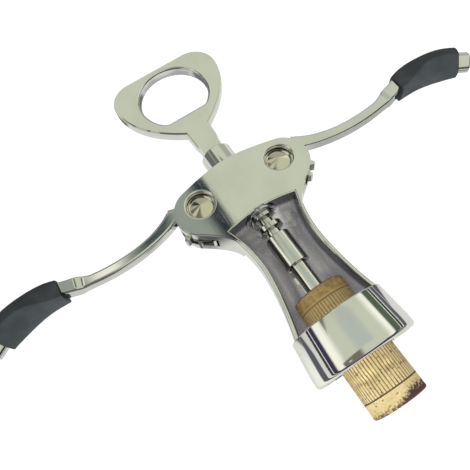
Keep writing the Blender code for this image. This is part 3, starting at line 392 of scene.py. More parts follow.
# Tones of the ceiling, as slopes from the zenith: x from, x to, y from, y to, softness of the
# two x sides, colour
CEILING_PATCHES = (
    (-0.34, 0.148, 0.36, 0.618, 0.02, 0.004, (0.36, 0.39, 0.34)),
    (-0.30, 0.38, 0.13, 0.34, 0.16, 0.16, (0.54, 0.58, 0.52)),
    (-1.45, -0.20, -2.50, 0.12, 0.12, 0.12, (0.21, 0.19, 0.17)),
    (-0.94, -0.76, -0.14, 0.04, 0.08, 0.08, (0.80, 0.70, 0.66)),
    (-1.10, -0.36, 0.42, 0.85, 0.10, 0.04, (0.20, 0.18, 0.16)),
    (-0.50, -0.12, 1.10, 1.90, 0.04, 0.04, (0.05, 0.05, 0.05)),
    (-0.22, -0.135, 0.36, 0.618, 0.025, 0.03, (1.05, 1.03, 0.90)),
    (-0.09, 0.02, 0.42, 0.618, 0.03, 0.02, (0.07, 0.09, 0.10)),
    (0.105, 0.148, 0.36, 0.618, 0.02, 0.004, (0.02, 0.028, 0.036)),
)
CEILING_PATCH_SOFTNESS = (0.02, 0.008)
CEILING_PATCH_LEVELS = (0.3, 0.4)
LEAST_RISE = 0.05
FLOOR_SIZE = 6.0
FLOOR_DROP = 0.02 * MM
FLOOR_COLOUR = (0.93, 0.93, 0.93)
FLOOR_WORN_SHARE = 0.99
FLOOR_TONE_SCALE = 6.0
FLOOR_ROUGHNESS = 0.9
FLOOR_SPECULAR = 0.1
# Painted shade: reflections see the floor greyer than the camera does
FLOOR_IN_METAL = (0.66, 0.66, 0.64)
FLOOR_PAINTED_SHADE = (0.10, 0.10, 0.115)
# Painted tones of the floor as the metal sees it, mostly painted shade and shadow: x from, x to, y
# from, y to, softness, colour
FLOOR_PATCHES = (
    (-0.300, -0.036, -0.022, 0.060, 0.008, (0.60, 0.60, 0.57)),
    (0.036, 0.300, -0.022, 0.060, 0.008, (0.44, 0.445, 0.42)),
    (-0.190, -0.036, -0.300, -0.055, 0.010, (0.86, 0.87, 0.79)),
    (-0.190, -0.077, -0.300, -0.030, 0.006, FLOOR_PAINTED_SHADE),
    (-0.077, -0.030, -0.047, -0.026, 0.003, FLOOR_PAINTED_SHADE),
    (-0.048, -0.030, -0.026, -0.004, 0.004, FLOOR_PAINTED_SHADE),
    (0.030, 0.140, -0.047, -0.026, 0.003, FLOOR_PAINTED_SHADE),
    (0.155, 0.600, -0.600, 0.100, 0.010, FLOOR_PAINTED_SHADE),
    (-0.060, 0.060, 0.088, 0.300, 0.003, (0.16, 0.16, 0.17)),
    (-0.012, 0.012, 0.070, 0.085, 0.003, (0.42, 0.42, 0.42)),
)


def new_object(name, mesh_data, place, material=None):
    """Makes an object from (points, faces), at a place in the row frame."""
    points, faces = mesh_data
    mesh = bpy.data.meshes.new(name)
    mesh.from_pydata([tuple(point) for point in points], [], [tuple(face) for face in faces])
    obj = bpy.data.objects.new(name, mesh)
    bpy.context.scene.collection.objects.link(obj)
    obj.location = place
    if material:
        mesh.materials.append(material)
    return obj


def smooth(obj, angle=SMOOTH_ANGLE, weighted=True):
    """Rounds the shading over fine facets and keeps flat faces flat."""
    obj.data.shade_smooth()
    obj.data.set_sharp_from_angle(angle=angle)
    if weighted:
        modifier = obj.modifiers.new("weighted normals", "WEIGHTED_NORMAL")
        modifier.keep_sharp = True


def carve(name, base, steps, place, material):
    """Builds a base body and joins or cuts it by each (operation, body) in turn."""
    obj = new_object(name, base, place, material)
    tools = []
    for operation, tool_data in steps:
        tool = new_object(f"{name}_tool", tool_data, place)
        modifier = obj.modifiers.new("cut", "BOOLEAN")
        modifier.operation = operation
        modifier.solver = "EXACT"
        modifier.object = tool
        tools.append(tool)
    bpy.context.view_layer.update()
    evaluated = obj.evaluated_get(bpy.context.evaluated_depsgraph_get())
    mesh = bpy.data.meshes.new_from_object(evaluated)
    obj.modifiers.clear()
    old = obj.data
    obj.data = mesh
    bpy.data.meshes.remove(old)
    for tool in tools:
        bpy.data.objects.remove(tool, do_unlink=True)
    return obj


def round_arc(centre, radius, start, end, step=ARC_STEP):
    """Points along a circle from one angle to another."""
    count = max(2, math.ceil(abs(end - start) / step))
    angles = [start + (end - start) * i / count for i in range(count + 1)]
    return [(centre[0] + radius * math.cos(a), centre[1] + radius * math.sin(a)) for a in angles]


def quarter(x, y, radius, turn):
    """A quarter of a small circle, from a given quarter turn to the next one."""
    right_angle = math.pi / 2
    return round_arc((x, y), radius, turn * right_angle, (turn + 1) * right_angle, EDGE_ARC_STEP)


def rounding(start, radius):
    """Steps (distance, inset) round an edge that begins at a distance."""
    turns = [math.pi / 2 * i / EDGE_SEGMENTS for i in range(1, EDGE_SEGMENTS + 1)]
    return [(start + radius * math.sin(a), radius * (1 - math.cos(a))) for a in turns]


def bezier(controls, share):
    points = [Vector(control) for control in controls]
    while len(points) > 1:
        points = [a.lerp(b, share) for a, b in zip(points, points[1:])]
    return points[0]


def bezier_points(controls):
    return [tuple(bezier(controls, i / BEZIER_STEPS)) for i in range(BEZIER_STEPS + 1)]


def ease(share):
    """Smooth step from nought to one."""
    share = min(max(share, 0), 1)
    return share * share * (3 - 2 * share)


def smooth_table(shares, share):
    """Reads an evenly spaced table through a smooth curve."""
    position = min(max(share, 0), 1) * (len(shares) - 1)
    i = min(int(position), len(shares) - 2)
    t = position - i
    before, after = shares[max(i - 1, 0)], shares[min(i + 2, len(shares) - 1)]
    a, b = shares[i], shares[i + 1]
    slope_a, slope_b = (b - before) / 2, (after - a) / 2
    return (
        a * (2 * t ** 3 - 3 * t ** 2 + 1) + slope_a * (t ** 3 - 2 * t ** 2 + t)
        + b * (3 * t ** 2 - 2 * t ** 3) + slope_b * (t ** 3 - t ** 2)
    )


def revolve(profile, segments=TURNED_SEGMENTS):
    """Turns a closed profile of (radius, place) points round the Y axis."""
    points, rings = [], []
    for radius, place in profile:
        if radius == 0:
            rings.append([len(points)] * segments)
            points.append((0, place, 0))
            continue
        rings.append([len(points) + i for i in range(segments)])
        for i in range(segments):
            angle = 2 * math.pi * (i + 0.5) / segments
            points.append((radius * math.sin(angle), place, radius * math.cos(angle)))
    faces = []
    for ring, following in zip(rings, rings[1:] + rings[:1]):
        for i in range(segments):
            j = (i + 1) % segments
            corners = dict.fromkeys((ring[i], ring[j], following[j], following[i]))
            if len(corners) > 2:
                faces.append(tuple(corners))
    return outward((points, faces))


def cylinder(radius, low, high):
    return revolve([(0, low), (radius, low), (radius, high), (0, high)])


def taken(builder):
    """Points and faces of a built mesh, which is then let go."""
    builder.verts.index_update()
    points = [tuple(vert.co) for vert in builder.verts]
    faces = [[vert.index for vert in face.verts] for face in builder.faces]
    builder.free()
    return points, faces


def outward(mesh_data):
    """Makes the faces of a closed body point outward."""
    builder = bmesh.new()
    verts = [builder.verts.new(point) for point in mesh_data[0]]
    for face in mesh_data[1]:
        builder.faces.new([verts[i] for i in face])
    bmesh.ops.recalc_face_normals(builder, faces=builder.faces)
    if builder.calc_volume(signed=True) < 0:
        bmesh.ops.reverse_faces(builder, faces=builder.faces)
    return taken(builder)


def mirrored(mesh_data):
    points, faces = mesh_data
    return outward(([(-x, y, z) for x, y, z in points], faces))


def prism(outline, low, high, edge=0):
    """A plate with an anticlockwise outline and, with an edge, rounded rims."""
    builder = bmesh.new()
    verts = [builder.verts.new((x, y, low)) for x, y in outline]
    floor = builder.faces.new(verts[::-1])
    raised = bmesh.ops.extrude_face_region(builder, geom=[floor])
    lifted = [item for item in raised["geom"] if isinstance(item, bmesh.types.BMVert)]
    bmesh.ops.translate(builder, verts=lifted, vec=(0, 0, high - low))
    bmesh.ops.recalc_face_normals(builder, faces=builder.faces)
    if edge:
        top, bottom = lifted[0].co.z, verts[0].co.z
        rims = [
            e for e in builder.edges
            if all(v.co.z == top for v in e.verts) or all(v.co.z == bottom for v in e.verts)
        ]
        bmesh.ops.bevel(
            builder, geom=rims, offset=edge, offset_type="OFFSET", segments=EDGE_SEGMENTS,
            affect="EDGES", clamp_overlap=True,
        )
    return taken(builder)


def loft(sections):
    """Skins closed sections of equal point count, and closes both ends."""
    points = [point for section in sections for point in section]
    count = len(sections[0])
    faces = []
    for level in range(len(sections) - 1):
        for i in range(count):
            j = (i + 1) % count
            low, high = level * count, (level + 1) * count
            faces.append((low + i, low + j, high + j, high + i))
    faces.append(tuple(range(count))[::-1])
    faces.append(tuple(range(len(points) - count, len(points))))
    return outward((points, faces))


def turned_flat(mesh_data, middle_x, middle_y):
    """A body of revolution moved from the Y axis to a pin's axis along Z."""
    points, faces = mesh_data
    return outward(([(middle_x + x, middle_y - z, y) for x, y, z in points], faces))


def body_half_width(place):
    if place < WAIST_HEIGHT:
        share = (WAIST_HEIGHT - place) / (WAIST_HEIGHT - BELL_LENGTH)
        rim_half_width = BELL_RIM_RADIUS - BODY_STEP_AT_RIM
        return WAIST_HALF_WIDTH + (rim_half_width - WAIST_HALF_WIDTH) * share ** BELL_FLARE_POWER
    share = (place - WAIST_HEIGHT) / (WINDOW_TOP_CENTRE - WAIST_HEIGHT)
    return WAIST_HALF_WIDTH + (BODY_TOP_HALF_WIDTH - WAIST_HALF_WIDTH) * share * share


def body_back_depth(place):
    round_depth = min(body_half_width(place), body_half_width(min(place, WAIST_HEIGHT)))
    share = (place - BODY_BACK_START) / (BODY_BACK_END - BODY_BACK_START)
    return round_depth + (YOKE_HALF_DEPTH - round_depth) * ease(share)


def body_front(place):
    share = (place - BELL_LENGTH) / (WAIST_HEIGHT - BELL_LENGTH)
    return WALL_FRONT_AT_BELL + (WALL_FRONT - WALL_FRONT_AT_BELL) * ease(share)


def wall_top(half_width, front):
    """Points from a side wall's flank over its rounded front edge to its inner face."""
    level = front - BODY_EDGE
    outer = quarter(half_width - BODY_EDGE, level, BODY_EDGE, 0)
    return outer + quarter(half_width - BODY_WALL + BODY_EDGE, level, BODY_EDGE, 1)


def body_section(place):
    """A U-shaped wall round the open front, at one place along the axis."""
    width, depth = body_half_width(place), body_back_depth(place)
    inner_width, inner_depth = width - BODY_WALL, depth - BODY_WALL
    angles = [math.pi * i / BODY_BACK_SEGMENTS for i in range(BODY_BACK_SEGMENTS + 1)]
    top = wall_top(width, body_front(place))
    section = [(width * math.cos(a), -depth * math.sin(a)) for a in angles]
    section += [(-x, z) for x, z in top]
    section += [(-inner_width * math.cos(a), -inner_depth * math.sin(a)) for a in angles]
    section += top[::-1]
    return [(x, place, z) for x, z in section]


def body_channel():
    places = np.linspace(LEDGE_HEIGHT + LEDGE_THICKNESS / 2, BODY_BACK_END, BODY_STATIONS)
    return loft([body_section(float(place)) for place in places])


def bell():
    """Flared cup with a rounded lip, and a ledge inside that rests on the bottle's mouth."""
    lip_inner = BELL_LIP_RADIUS - BELL_LIP_ROUND
    rim_level = BELL_LENGTH - BELL_RIM_ROUND
    inner, ledge_top = BELL_RIM_RADIUS - BELL_WALL, LEDGE_HEIGHT + LEDGE_THICKNESS
    profile = quarter(lip_inner, BELL_LIP_ROUND, BELL_LIP_ROUND, -1)
    profile.append((BELL_LIP_RADIUS, BELL_LIP_HEIGHT))
    profile += quarter(BELL_RIM_RADIUS - BELL_RIM_ROUND, rim_level, BELL_RIM_ROUND, 0)
    profile += quarter(inner + BELL_RIM_ROUND, rim_level, BELL_RIM_ROUND, 1)
    profile += [
        (inner, ledge_top), (LEDGE_RADIUS, ledge_top), (LEDGE_RADIUS, LEDGE_HEIGHT),
        (inner, LEDGE_HEIGHT), (lip_inner - BELL_LIP_FLAT, 0),
    ]
    return revolve(profile, ROUND_SEGMENTS)


def yoke_outline():
    """Front view of the yoke: bosses round the pins, a shallow top and an arched window top."""
    arc = round_arc((BOSS_X, BOSS_Y), BOSS_RADIUS, BOSS_ARC_START, BOSS_ARC_END)
    top = bezier_points([(0, YOKE_TOP), (YOKE_SHOULDER_CONTROL, YOKE_TOP), arc[0]])
    foot_width = body_half_width(YOKE_FOOT)
    armpit = (foot_width + BOSS_OUTWARD, WINDOW_TOP_SIDE - BODY_WALL)
    flare = bezier_points([arc[-1], armpit, (foot_width - GAP, YOKE_FOOT)])
    inner_foot = (foot_width - BODY_WALL + GAP, YOKE_FOOT)
    corner = (body_half_width(WINDOW_TOP_SIDE) - BODY_WALL + GAP, WINDOW_TOP_SIDE)
    arch_control = (corner[0] / 2, WINDOW_TOP_CENTRE)
    arch = bezier_points([corner, arch_control, (0, WINDOW_TOP_CENTRE)])
    right = top[1:] + arc[1:] + flare[1:] + [inner_foot] + arch[:-1]
    left = [(-x, y) for x, y in reversed(right)]
    return ([top[0]] + right + [arch[-1]] + left)[::-1]


def slot_outline():
    """Room for one lever: round its gear inside the yoke, and open to the outside."""
    radius = GEAR_TIP_RADIUS + 2 * GAP
    arc = round_arc((PIN_OUTWARD, PIN_HEIGHT), radius, math.pi / 2, 3 * math.pi / 2)
    outside = BOSS_X + BOSS_RADIUS + OVERRUN
    return arc + [(outside, PIN_HEIGHT - radius), (outside, PIN_HEIGHT + radius)]


def pin_hole(side):
    """Bore for a pin, with a round recess in each face that has a rounded rim."""
    bore, recess = PIN_RADIUS + GAP, PIN_HEAD_RADIUS + GAP
    floor, top = YOKE_HALF_DEPTH - PIN_RECESS, YOKE_HALF_DEPTH + OVERRUN
    mouth = recess + RECESS_ROUND
    rim = quarter(mouth, YOKE_HALF_DEPTH - RECESS_ROUND, RECESS_ROUND, 1)[::-1]
    right = [(bore, floor), (recess, floor)] + rim + [(mouth, top)]
    mirror = [(radius, -height) for radius, height in reversed(right)]
    profile = [(0, -top)] + mirror + right + [(0, top)]
    return turned_flat(revolve(profile), side * PIN_OUTWARD, PIN_HEIGHT)


def neck():
    """Round neck on top of the yoke, in which the stem of the opener slides."""
    low = YOKE_TOP - YOKE_HALF_DEPTH
    edge = quarter(NECK_RADIUS - NECK_EDGE, NECK_TOP - NECK_EDGE, NECK_EDGE, 0)
    return revolve([(0, low), (NECK_RADIUS, low)] + edge + [(0, NECK_TOP)], ROUND_SEGMENTS)


def yoke_bore():
    """Bore through yoke and neck, with the snap groove for the guide bush at its foot."""
    barrel = BORE_RADIUS + BUSH_WALL + GAP
    flange = BORE_RADIUS + BUSH_WALL + BUSH_FLANGE_WIDTH + GAP
    low, seat = BUSH_BOTTOM - OVERRUN, BUSH_BOTTOM + BUSH_FLANGE_THICKNESS + GAP
    lip_bottom, lip_top = BUSH_TOP - BUSH_LIP_LENGTH - GAP, BUSH_TOP + GAP
    return revolve([
        (0, low), (flange, low), (flange, seat), (barrel, seat), (barrel, lip_bottom),
        (barrel + BUSH_LIP, lip_bottom), (barrel + BUSH_LIP, lip_top),
        (NECK_BORE_RADIUS, lip_top), (NECK_BORE_RADIUS, NECK_TOP + OVERRUN),
        (0, NECK_TOP + OVERRUN),
    ])


def domed_head(base):
    """Profile of a low round pin head with a soft shoulder, that stands on a given height."""
    soft_middle = (PIN_HEAD_RADIUS - PIN_HEAD_ROUND, base + PIN_HEAD_EDGE - PIN_HEAD_ROUND)
    soft = round_arc(soft_middle, PIN_HEAD_ROUND, 0, PIN_SHOULDER_TURN, EDGE_ARC_STEP)
    rim, shoulder = soft[-1]
    dome = []
    for i in range(1, BEZIER_STEPS):
        share = i / BEZIER_STEPS
        dome.append((rim * (1 - share), shoulder + PIN_DOME * share ** PIN_CONE_POWER))
    return [(PIN_HEAD_RADIUS, base)] + soft + dome + [(0, shoulder + PIN_DOME)]


def pin_bodies():
    """The headed pin and the domed cap on its spigot, both upright on the Y axis."""
    seat = YOKE_HALF_DEPTH - PIN_RECESS + GAP
    tip = -seat - PIN_SPIGOT_LENGTH
    pin = [
        (0, tip), (PIN_SPIGOT_RADIUS, tip), (PIN_SPIGOT_RADIUS, -seat), (PIN_RADIUS, -seat),
        (PIN_RADIUS, seat),
    ]
    socket, socket_top = PIN_SPIGOT_RADIUS + GAP, seat + PIN_SPIGOT_LENGTH + GAP
    cap = [(0, socket_top), (socket, socket_top), (socket, seat + GAP)]
    return revolve(pin + domed_head(seat)), revolve(cap + domed_head(seat + GAP))


def bush():
    """Guide ring with a flange at the yoke's underside and a snap lip at its upper end."""
    barrel = BORE_RADIUS + BUSH_WALL
    flange = barrel + BUSH_FLANGE_WIDTH
    flange_top, lip_bottom = BUSH_BOTTOM + BUSH_FLANGE_THICKNESS, BUSH_TOP - BUSH_LIP_LENGTH
    edge = quarter(flange - NECK_EDGE, BUSH_BOTTOM + NECK_EDGE, NECK_EDGE, -1)
    return revolve([(BORE_RADIUS, BUSH_BOTTOM)] + edge + [
        (flange, flange_top), (barrel, flange_top), (barrel, lip_bottom),
        (barrel + BUSH_LIP, lip_bottom), (barrel, BUSH_TOP), (BORE_RADIUS, BUSH_TOP),
    ])


def rack():
    """The turned rack with its plain sleeve end; each tooth has broken edges."""
    top, seat_top = COLLAR_BOTTOM - GAP, SLEEVE_END + SHANK_SEAT_DEPTH
    bore, crest = SHANK_RADIUS + GAP, RACK_RADIUS - RACK_EDGE
    outer, inner = RACK_OUTER_HALF_GROOVE, RACK_NECK_HALF_GROOVE
    groove = [
        (RACK_RADIUS, -outer - RACK_EDGE), (crest, -outer), (RACK_NECK_RADIUS, -inner),
        (RACK_NECK_RADIUS, inner), (crest, outer), (RACK_RADIUS, outer + RACK_EDGE),
    ]
    profile = [(0, seat_top), (bore, seat_top), (bore, SLEEVE_END)]
    profile += quarter(RACK_RADIUS - SLEEVE_EDGE, SLEEVE_END + SLEEVE_EDGE, SLEEVE_EDGE, -1)
    for index in range(-RACK_GROOVES_BELOW, RACK_GROOVES_ABOVE):
        middle = PIN_HEIGHT + (index + 0.5) * RACK_PITCH
        profile += [(radius, middle + offset) for radius, offset in groove]
    profile += [
        (RACK_RADIUS, top), (TENON_RADIUS, top), (TENON_RADIUS, top + TENON_LENGTH),
        (0, top + TENON_LENGTH),
    ]
    return revolve(profile)


def shank():
    """Thin rod from the sleeve to the cork, with a socket for the worm in its foot."""
    foot, top = CORK_TOP + GAP, SLEEVE_END + SHANK_SEAT_DEPTH - GAP
    seat = foot + WORM_SEAT_DEPTH
    return revolve([
        (0, seat), (WORM_SOCKET_RADIUS, seat), (WORM_SOCKET_RADIUS, foot), (SHANK_RADIUS, foot),
        (SHANK_RADIUS, top), (0, top),
    ])


def cork_body():
    """Cork with soft rims; fine rings keep its grain where the surface is pitted."""
    low, high = CORK_BOTTOM + CORK_EDGE, CORK_TOP - CORK_EDGE
    inset = CORK_RADIUS - CORK_EDGE
    profile = [(inset * i / CORK_CAP_RINGS, CORK_BOTTOM) for i in range(CORK_CAP_RINGS)]
    profile += quarter(inset, low, CORK_EDGE, -1)
    profile += [(CORK_RADIUS, float(y)) for y in np.linspace(low, high, CORK_RINGS)[1:-1]]
    profile += quarter(inset, high, CORK_EDGE, 0)
    profile += [(inset * i / CORK_CAP_RINGS, CORK_TOP) for i in range(CORK_CAP_RINGS - 1, -1, -1)]
    points, faces = revolve(profile, CORK_SEGMENTS)
    pitted = []
    for point in points:
        place = Vector(point)
        middle = Vector((0, min(max(place.y, low), high), 0))
        grain = noise.noise(place * CORK_GRAIN_SCALE) + noise.noise(place * CORK_GRAIN_SCALE * 3) / 2
        pit = max(0, noise.noise(place * CORK_PIT_SCALE) - CORK_PIT_LEVEL)
        depth = CORK_GRAIN_DEPTH * (grain + 1.5) / 3 + CORK_PIT_DEPTH * pit
        pitted.append(tuple(place - (place - middle).normalized() * depth))
    return pitted, faces


def handle_outline():
    """Front view of the opener: straight top, two round ears, and hips drawn in to the stem."""
    ear_y = HANDLE_TOP - EAR_RADIUS
    ear = round_arc((EAR_OUTWARD, ear_y), EAR_RADIUS, math.pi / 2, 0)
    hip = bezier_points([
        ear[-1],
        (ear[-1][0], ear_y - HIP_DROP),
        (ear[-1][0] - HIP_INWARD, STEM_TOP + HIP_RISE),
        (STEM_TOP_HALF_WIDTH, STEM_TOP),
    ])
    right = ear + hip[1:] + [(STEM_HALF_WIDTH, COLLAR_TOP - COLLAR_OVERLAP)]
    return (right + [(-x, y) for x, y in reversed(right)])[::-1]


def stem_turning():
    """What the turning of the stem leaves: it cuts the bar's edges round toward the neck."""
    run = [(STEM_TURNED_RADIUS + STEM_FLARE * ease(i / BEZIER_STEPS) ** 2,
            NECK_TOP + STEM_TURNED_LENGTH * i / BEZIER_STEPS) for i in range(BEZIER_STEPS + 1)]
    wide, low = 2 * EAR_OUTWARD, COLLAR_TOP - 2 * COLLAR_OVERLAP
    return revolve([(0, low), (STEM_TURNED_RADIUS, low)] + run + [
        (wide, run[-1][1] + OVERRUN), (wide, HANDLE_TOP + OVERRUN), (0, HANDLE_TOP + OVERRUN),
    ], ROUND_SEGMENTS)


def hole_cutter():
    """D-shaped hole of the opener, its chord toward the stem, flared out over both rims."""
    half_angle = math.acos(HOLE_CHORD_DROP / HOLE_RADIUS)
    corner = HOLE_CORNER / HOLE_RADIUS
    start = -math.pi / 2 + half_angle
    chord = HOLE_HEIGHT - HOLE_CHORD_DROP
    corner_x = HOLE_RADIUS * math.sin(half_angle)
    first, last = (corner_x - HOLE_CORNER, chord), (-corner_x + HOLE_CORNER, chord)
    arc = round_arc((0, HOLE_HEIGHT), HOLE_RADIUS, start + corner, math.pi - start - corner)
    outline = bezier_points([first, (corner_x, chord), arc[0]])[:-1] + arc
    outline += bezier_points([arc[-1], (-corner_x, chord), last])[1:]
    flat = HANDLE_HALF_THICKNESS - HOLE_EDGE
    levels = [(flat, 0.0)] + rounding(flat, HOLE_EDGE)
    levels.append((HANDLE_HALF_THICKNESS + OVERRUN, HOLE_EDGE))
    levels = [(-height, spread) for height, spread in reversed(levels)] + levels
    rim = []
    for i, corner in enumerate(outline):
        point = Vector(corner)
        along = (Vector(outline[(i + 1) % len(outline)]) - Vector(outline[i - 1])).normalized()
        away = Vector((along.y, -along.x))
        if away.dot(point - Vector((0, HOLE_HEIGHT))) < 0:
            away = -away
        rim.append((point, away))
    return loft([
        [(*(point + away * spread), height) for point, away in rim] for height, spread in levels
    ])


def involute(angle):
    return math.tan(angle) - angle


def tooth_points(middle):
    """One gear tooth, as points from its first root corner to its last, anticlockwise."""
    base_radius = GEAR_PITCH_RADIUS * math.cos(PRESSURE_ANGLE)
    half_at_base = GEAR_TOOTH_THICKNESS / (2 * GEAR_PITCH_RADIUS) + involute(PRESSURE_ANGLE)
    flank = [(GEAR_ROOT_RADIUS, half_at_base)]
    for i in range(FLANK_POINTS):
        radius = base_radius + (GEAR_TIP_RADIUS - base_radius) * i / (FLANK_POINTS - 1)
        flank.append((radius, half_at_base - involute(math.acos(base_radius / radius))))
    rising = [(radius, middle - half) for radius, half in flank]
    falling = [(radius, middle + half) for radius, half in reversed(flank)]
    return [(r * math.cos(a), r * math.sin(a)) for r, a in rising + falling]


def head_outline():
    """Gear head of the right lever round its pivot, with a plain crest beside the arm."""
    pitch = 2 * math.pi / TOOTH_COUNT
    first = math.pi - (TEETH_ABOVE - 0.5) * pitch
    outline = round_arc((0, 0), HEAD_CREST_RADIUS, -math.pi / TOOTH_COUNT, first - pitch / 2)
    for index in range(TEETH_ABOVE + TEETH_BELOW):
        outline += tooth_points(first + index * pitch)
    end = first + (TEETH_ABOVE + TEETH_BELOW - 0.5) * pitch
    outline.append((GEAR_ROOT_RADIUS * math.cos(end), GEAR_ROOT_RADIUS * math.sin(end)))
    return outline


def web_outline():
    """Flat web that leads from the gear head out between the plates to the arm."""
    start, end = Vector(WEB_START), Vector(ARM_ROOT)
    along = (end - start).normalized()
    across = Vector((-along.y, along.x)) * (ARM_ROOT_HALF_WIDTH - GAP)
    reach = end + along * ARM_ROOT_HALF_WIDTH / 2
    return [tuple(corner) for corner in (
        start - across, reach - across, reach + across, start + across,
    )]


def path_frames(controls, shares, squared_end):
    """Share, centre, direction and sideways direction along a Bezier path.

    Toward one end the sideways direction turns square to the lever's length.
    """
    frames = []
    for share in shares:
        ahead = bezier(controls, min(1, share + PATH_STEP))
        behind = bezier(controls, max(0, share - PATH_STEP))
        along = (ahead - behind).normalized()
        across = Vector((-along.y, along.x))
        square = ease(1 - abs(share - squared_end) / SQUARED_SHARE)
        across = across.lerp(Vector((0, 1)), square).normalized()
        frames.append((share, bezier(controls, share), along, across))
    return frames


def arm_controls():
    """Bezier points of the arm's middle line."""
    middle = [(ARM_REACH * s, rise) for s, rise in zip(ARM_CONTROL_SHARES, ARM_CONTROL_RISES)]
    return [ARM_ROOT] + middle + [(ARM_REACH, ARM_TIP_RISE)]


def grip_controls():
    """Bezier points of the grip's middle line, from the end of the arm."""
    middle = [
        (ARM_REACH + GRIP_REACH * s, rise)
        for s, rise in zip(GRIP_CONTROL_SHARES, GRIP_CONTROL_RISES)
    ]
    return [(ARM_REACH, ARM_TIP_RISE)] + middle + [(ARM_REACH + GRIP_REACH, GRIP_TIP_RISE)]


def rounded_bar(half_width, half_thickness, edge):
    """Section of a flat bar with rounded edges, anticlockwise from its right side."""
    u, v = half_width - edge, half_thickness - edge
    corners = ((u, v), (-u, v), (-u, -v), (u, -v))
    return [point for turn, (x, y) in enumerate(corners) for point in quarter(x, y, edge, turn)]


def softened(corners, sharper):
    """Cuts the corners of a closed ring again and again; the sharper ones lose the least."""
    fractions = [RIDGE_CUT if i in sharper else CORNER_CUT for i in range(len(corners))]
    ring = [Vector(corner) for corner in corners]
    for _ in range(SOFTENING_ROUNDS):
        cut, next_fractions = [], []
        for i, corner in enumerate(ring):
            ahead = ring[(i + 1) % len(ring)]
            cut.append(corner.lerp(ring[i - 1], fractions[i]))
            cut.append(corner.lerp(ahead, fractions[i]))
            next_fractions += [CORNER_CUT, CORNER_CUT]
        ring, fractions = cut, next_fractions
    return ring


def grip_section(half_width, half_thickness, root_share):
    """Grip section; its soft ridge starts on the edge beside the block and moves inward."""
    front = []
    for (u, v), (root_u, root_v) in zip(GRIP_SECTION_SHARES, GRIP_ROOT_SHARES):
        front.append((u + (root_u - u) * root_share, v + (root_v - v) * root_share))
    ring = front + [(u, -v) for u, v in front[-2:0:-1]]
    mirrored_ridge = len(ring) - RIDGE_CORNER
    soft = softened(ring, (RIDGE_CORNER, mirrored_ridge))
    return [(u * half_width, v * half_thickness) for u, v in soft]


def placed(ring, centre, across):
    """A flat section stood up across a path."""
    return [(*(centre + across * u), v) for u, v in ring]


def arm_body():
    """Swept flat arm that swells to the block in front of the grip."""
    sections = []
    length = ARM_REACH - ARM_ROOT[0]
    shares = np.linspace(0, 1, ARM_STATIONS)
    for share, centre, _, across in path_frames(arm_controls(), shares, 1):
        distance = (1 - share) * length
        swell = ease((2 * BLOCK_LENGTH - distance) / BLOCK_LENGTH)
        scoop = ease((BLOCK_LENGTH + SCOOP_LENGTH - distance) / SCOOP_LENGTH)
        flare = (1 - min(1, share / ARM_ROOT_SHARE)) ** 2
        width = ARM_WAIST_HALF_WIDTH + (ARM_ROOT_HALF_WIDTH - ARM_WAIST_HALF_WIDTH) * flare
        width += (BLOCK_HALF_WIDTH - width) * swell
        thickness = ARM_HALF_THICKNESS + (BLOCK_HALF_THICKNESS - ARM_HALF_THICKNESS) * scoop
        middle = centre + across * BLOCK_RISE * swell
        ring = rounded_bar(width, thickness, ARM_ROUND)
        if not sections:
            inward = (Vector(WEB_START) - Vector(ARM_ROOT)).normalized()
            sections.append(placed(ring, middle + inward * ARM_RUN_IN, across))
        sections.append(placed(ring, middle, across))
    return loft(sections)


def tang_body(gap, past):
    """Tang inside the grip, or with a gap the room that it needs."""
    frames = path_frames(grip_controls(), np.linspace(0, 1, GRIP_STATIONS), 0)
    _, first, first_along, first_across = frames[0]
    _, last, last_along, last_across = frames[-1]
    stations = [(first - first_along * BLOCK_LENGTH / 2, first_across)]
    stations += [(centre, across) for _, centre, _, across in frames]
    stations.append((last + last_along * past, last_across))
    ring = rounded_bar(TANG_HALF_WIDTH + gap, TANG_HALF_THICKNESS + gap, ARM_ROUND)
    return loft([placed(ring, centre, across) for centre, across in stations])


def grip_body():
    """Curved grip with a soft ridge along each broad face and softly rounded ends."""
    ends = [GRIP_EDGE / GRIP_REACH * (1 - math.cos(i * math.pi / 2 / EDGE_SEGMENTS))
            for i in range(EDGE_SEGMENTS)]
    inner = np.linspace(GRIP_EDGE / GRIP_REACH, 1 - GRIP_EDGE / GRIP_REACH, GRIP_STATIONS)
    shares = ends + [float(share) for share in inner] + [1 - end for end in reversed(ends)]
    sections = []
    for share, centre, along, across in path_frames(grip_controls(), shares, 0):
        swell = smooth_table(GRIP_SWELL_SHARES, share)
        width = GRIP_ROOT_HALF_WIDTH + (GRIP_HALF_WIDTH - GRIP_ROOT_HALF_WIDTH) * swell
        thickness = GRIP_ROOT_HALF_THICKNESS
        thickness += (GRIP_HALF_THICKNESS - GRIP_ROOT_HALF_THICKNESS) * swell
        from_end = min(share, 1 - share) * GRIP_REACH / GRIP_EDGE
        inset = GRIP_EDGE * (1 - math.sqrt(max(0, 1 - (1 - min(1, from_end)) ** 2)))
        if share < 0.5:
            centre = centre + Vector((GAP * (1 - min(1, from_end)), 0))
            inset *= GRIP_ROOT_EDGE_SHARE
        ring = grip_section(width - inset, thickness - inset, 1 - ease(share / RIDGE_REACH_SHARE))
        sections.append(placed(ring, centre, across))
    return loft(sections)


def cap_body():
    """Bright button on the end of the grip, over the tip of the tang."""
    _, centre, along, across = path_frames(grip_controls(), (1.0,), 0)[0]
    start = centre + along * GAP
    straight = CAP_LENGTH - CAP_EDGE
    stations = [(0.0, 0.0), (straight, 0.0)] + rounding(straight, CAP_EDGE)
    sections = []
    for distance, inset in stations:
        share = ease(distance / CAP_LENGTH)
        width = CAP_HALF_WIDTH + (CAP_END_HALF_WIDTH + CAP_EDGE - CAP_HALF_WIDTH) * share
        thickness = CAP_HALF_THICKNESS * width / CAP_HALF_WIDTH
        ring = grip_section(width - inset, thickness - inset, 0)
        sections.append(placed(ring, start + along * distance, across))
    return loft(sections)


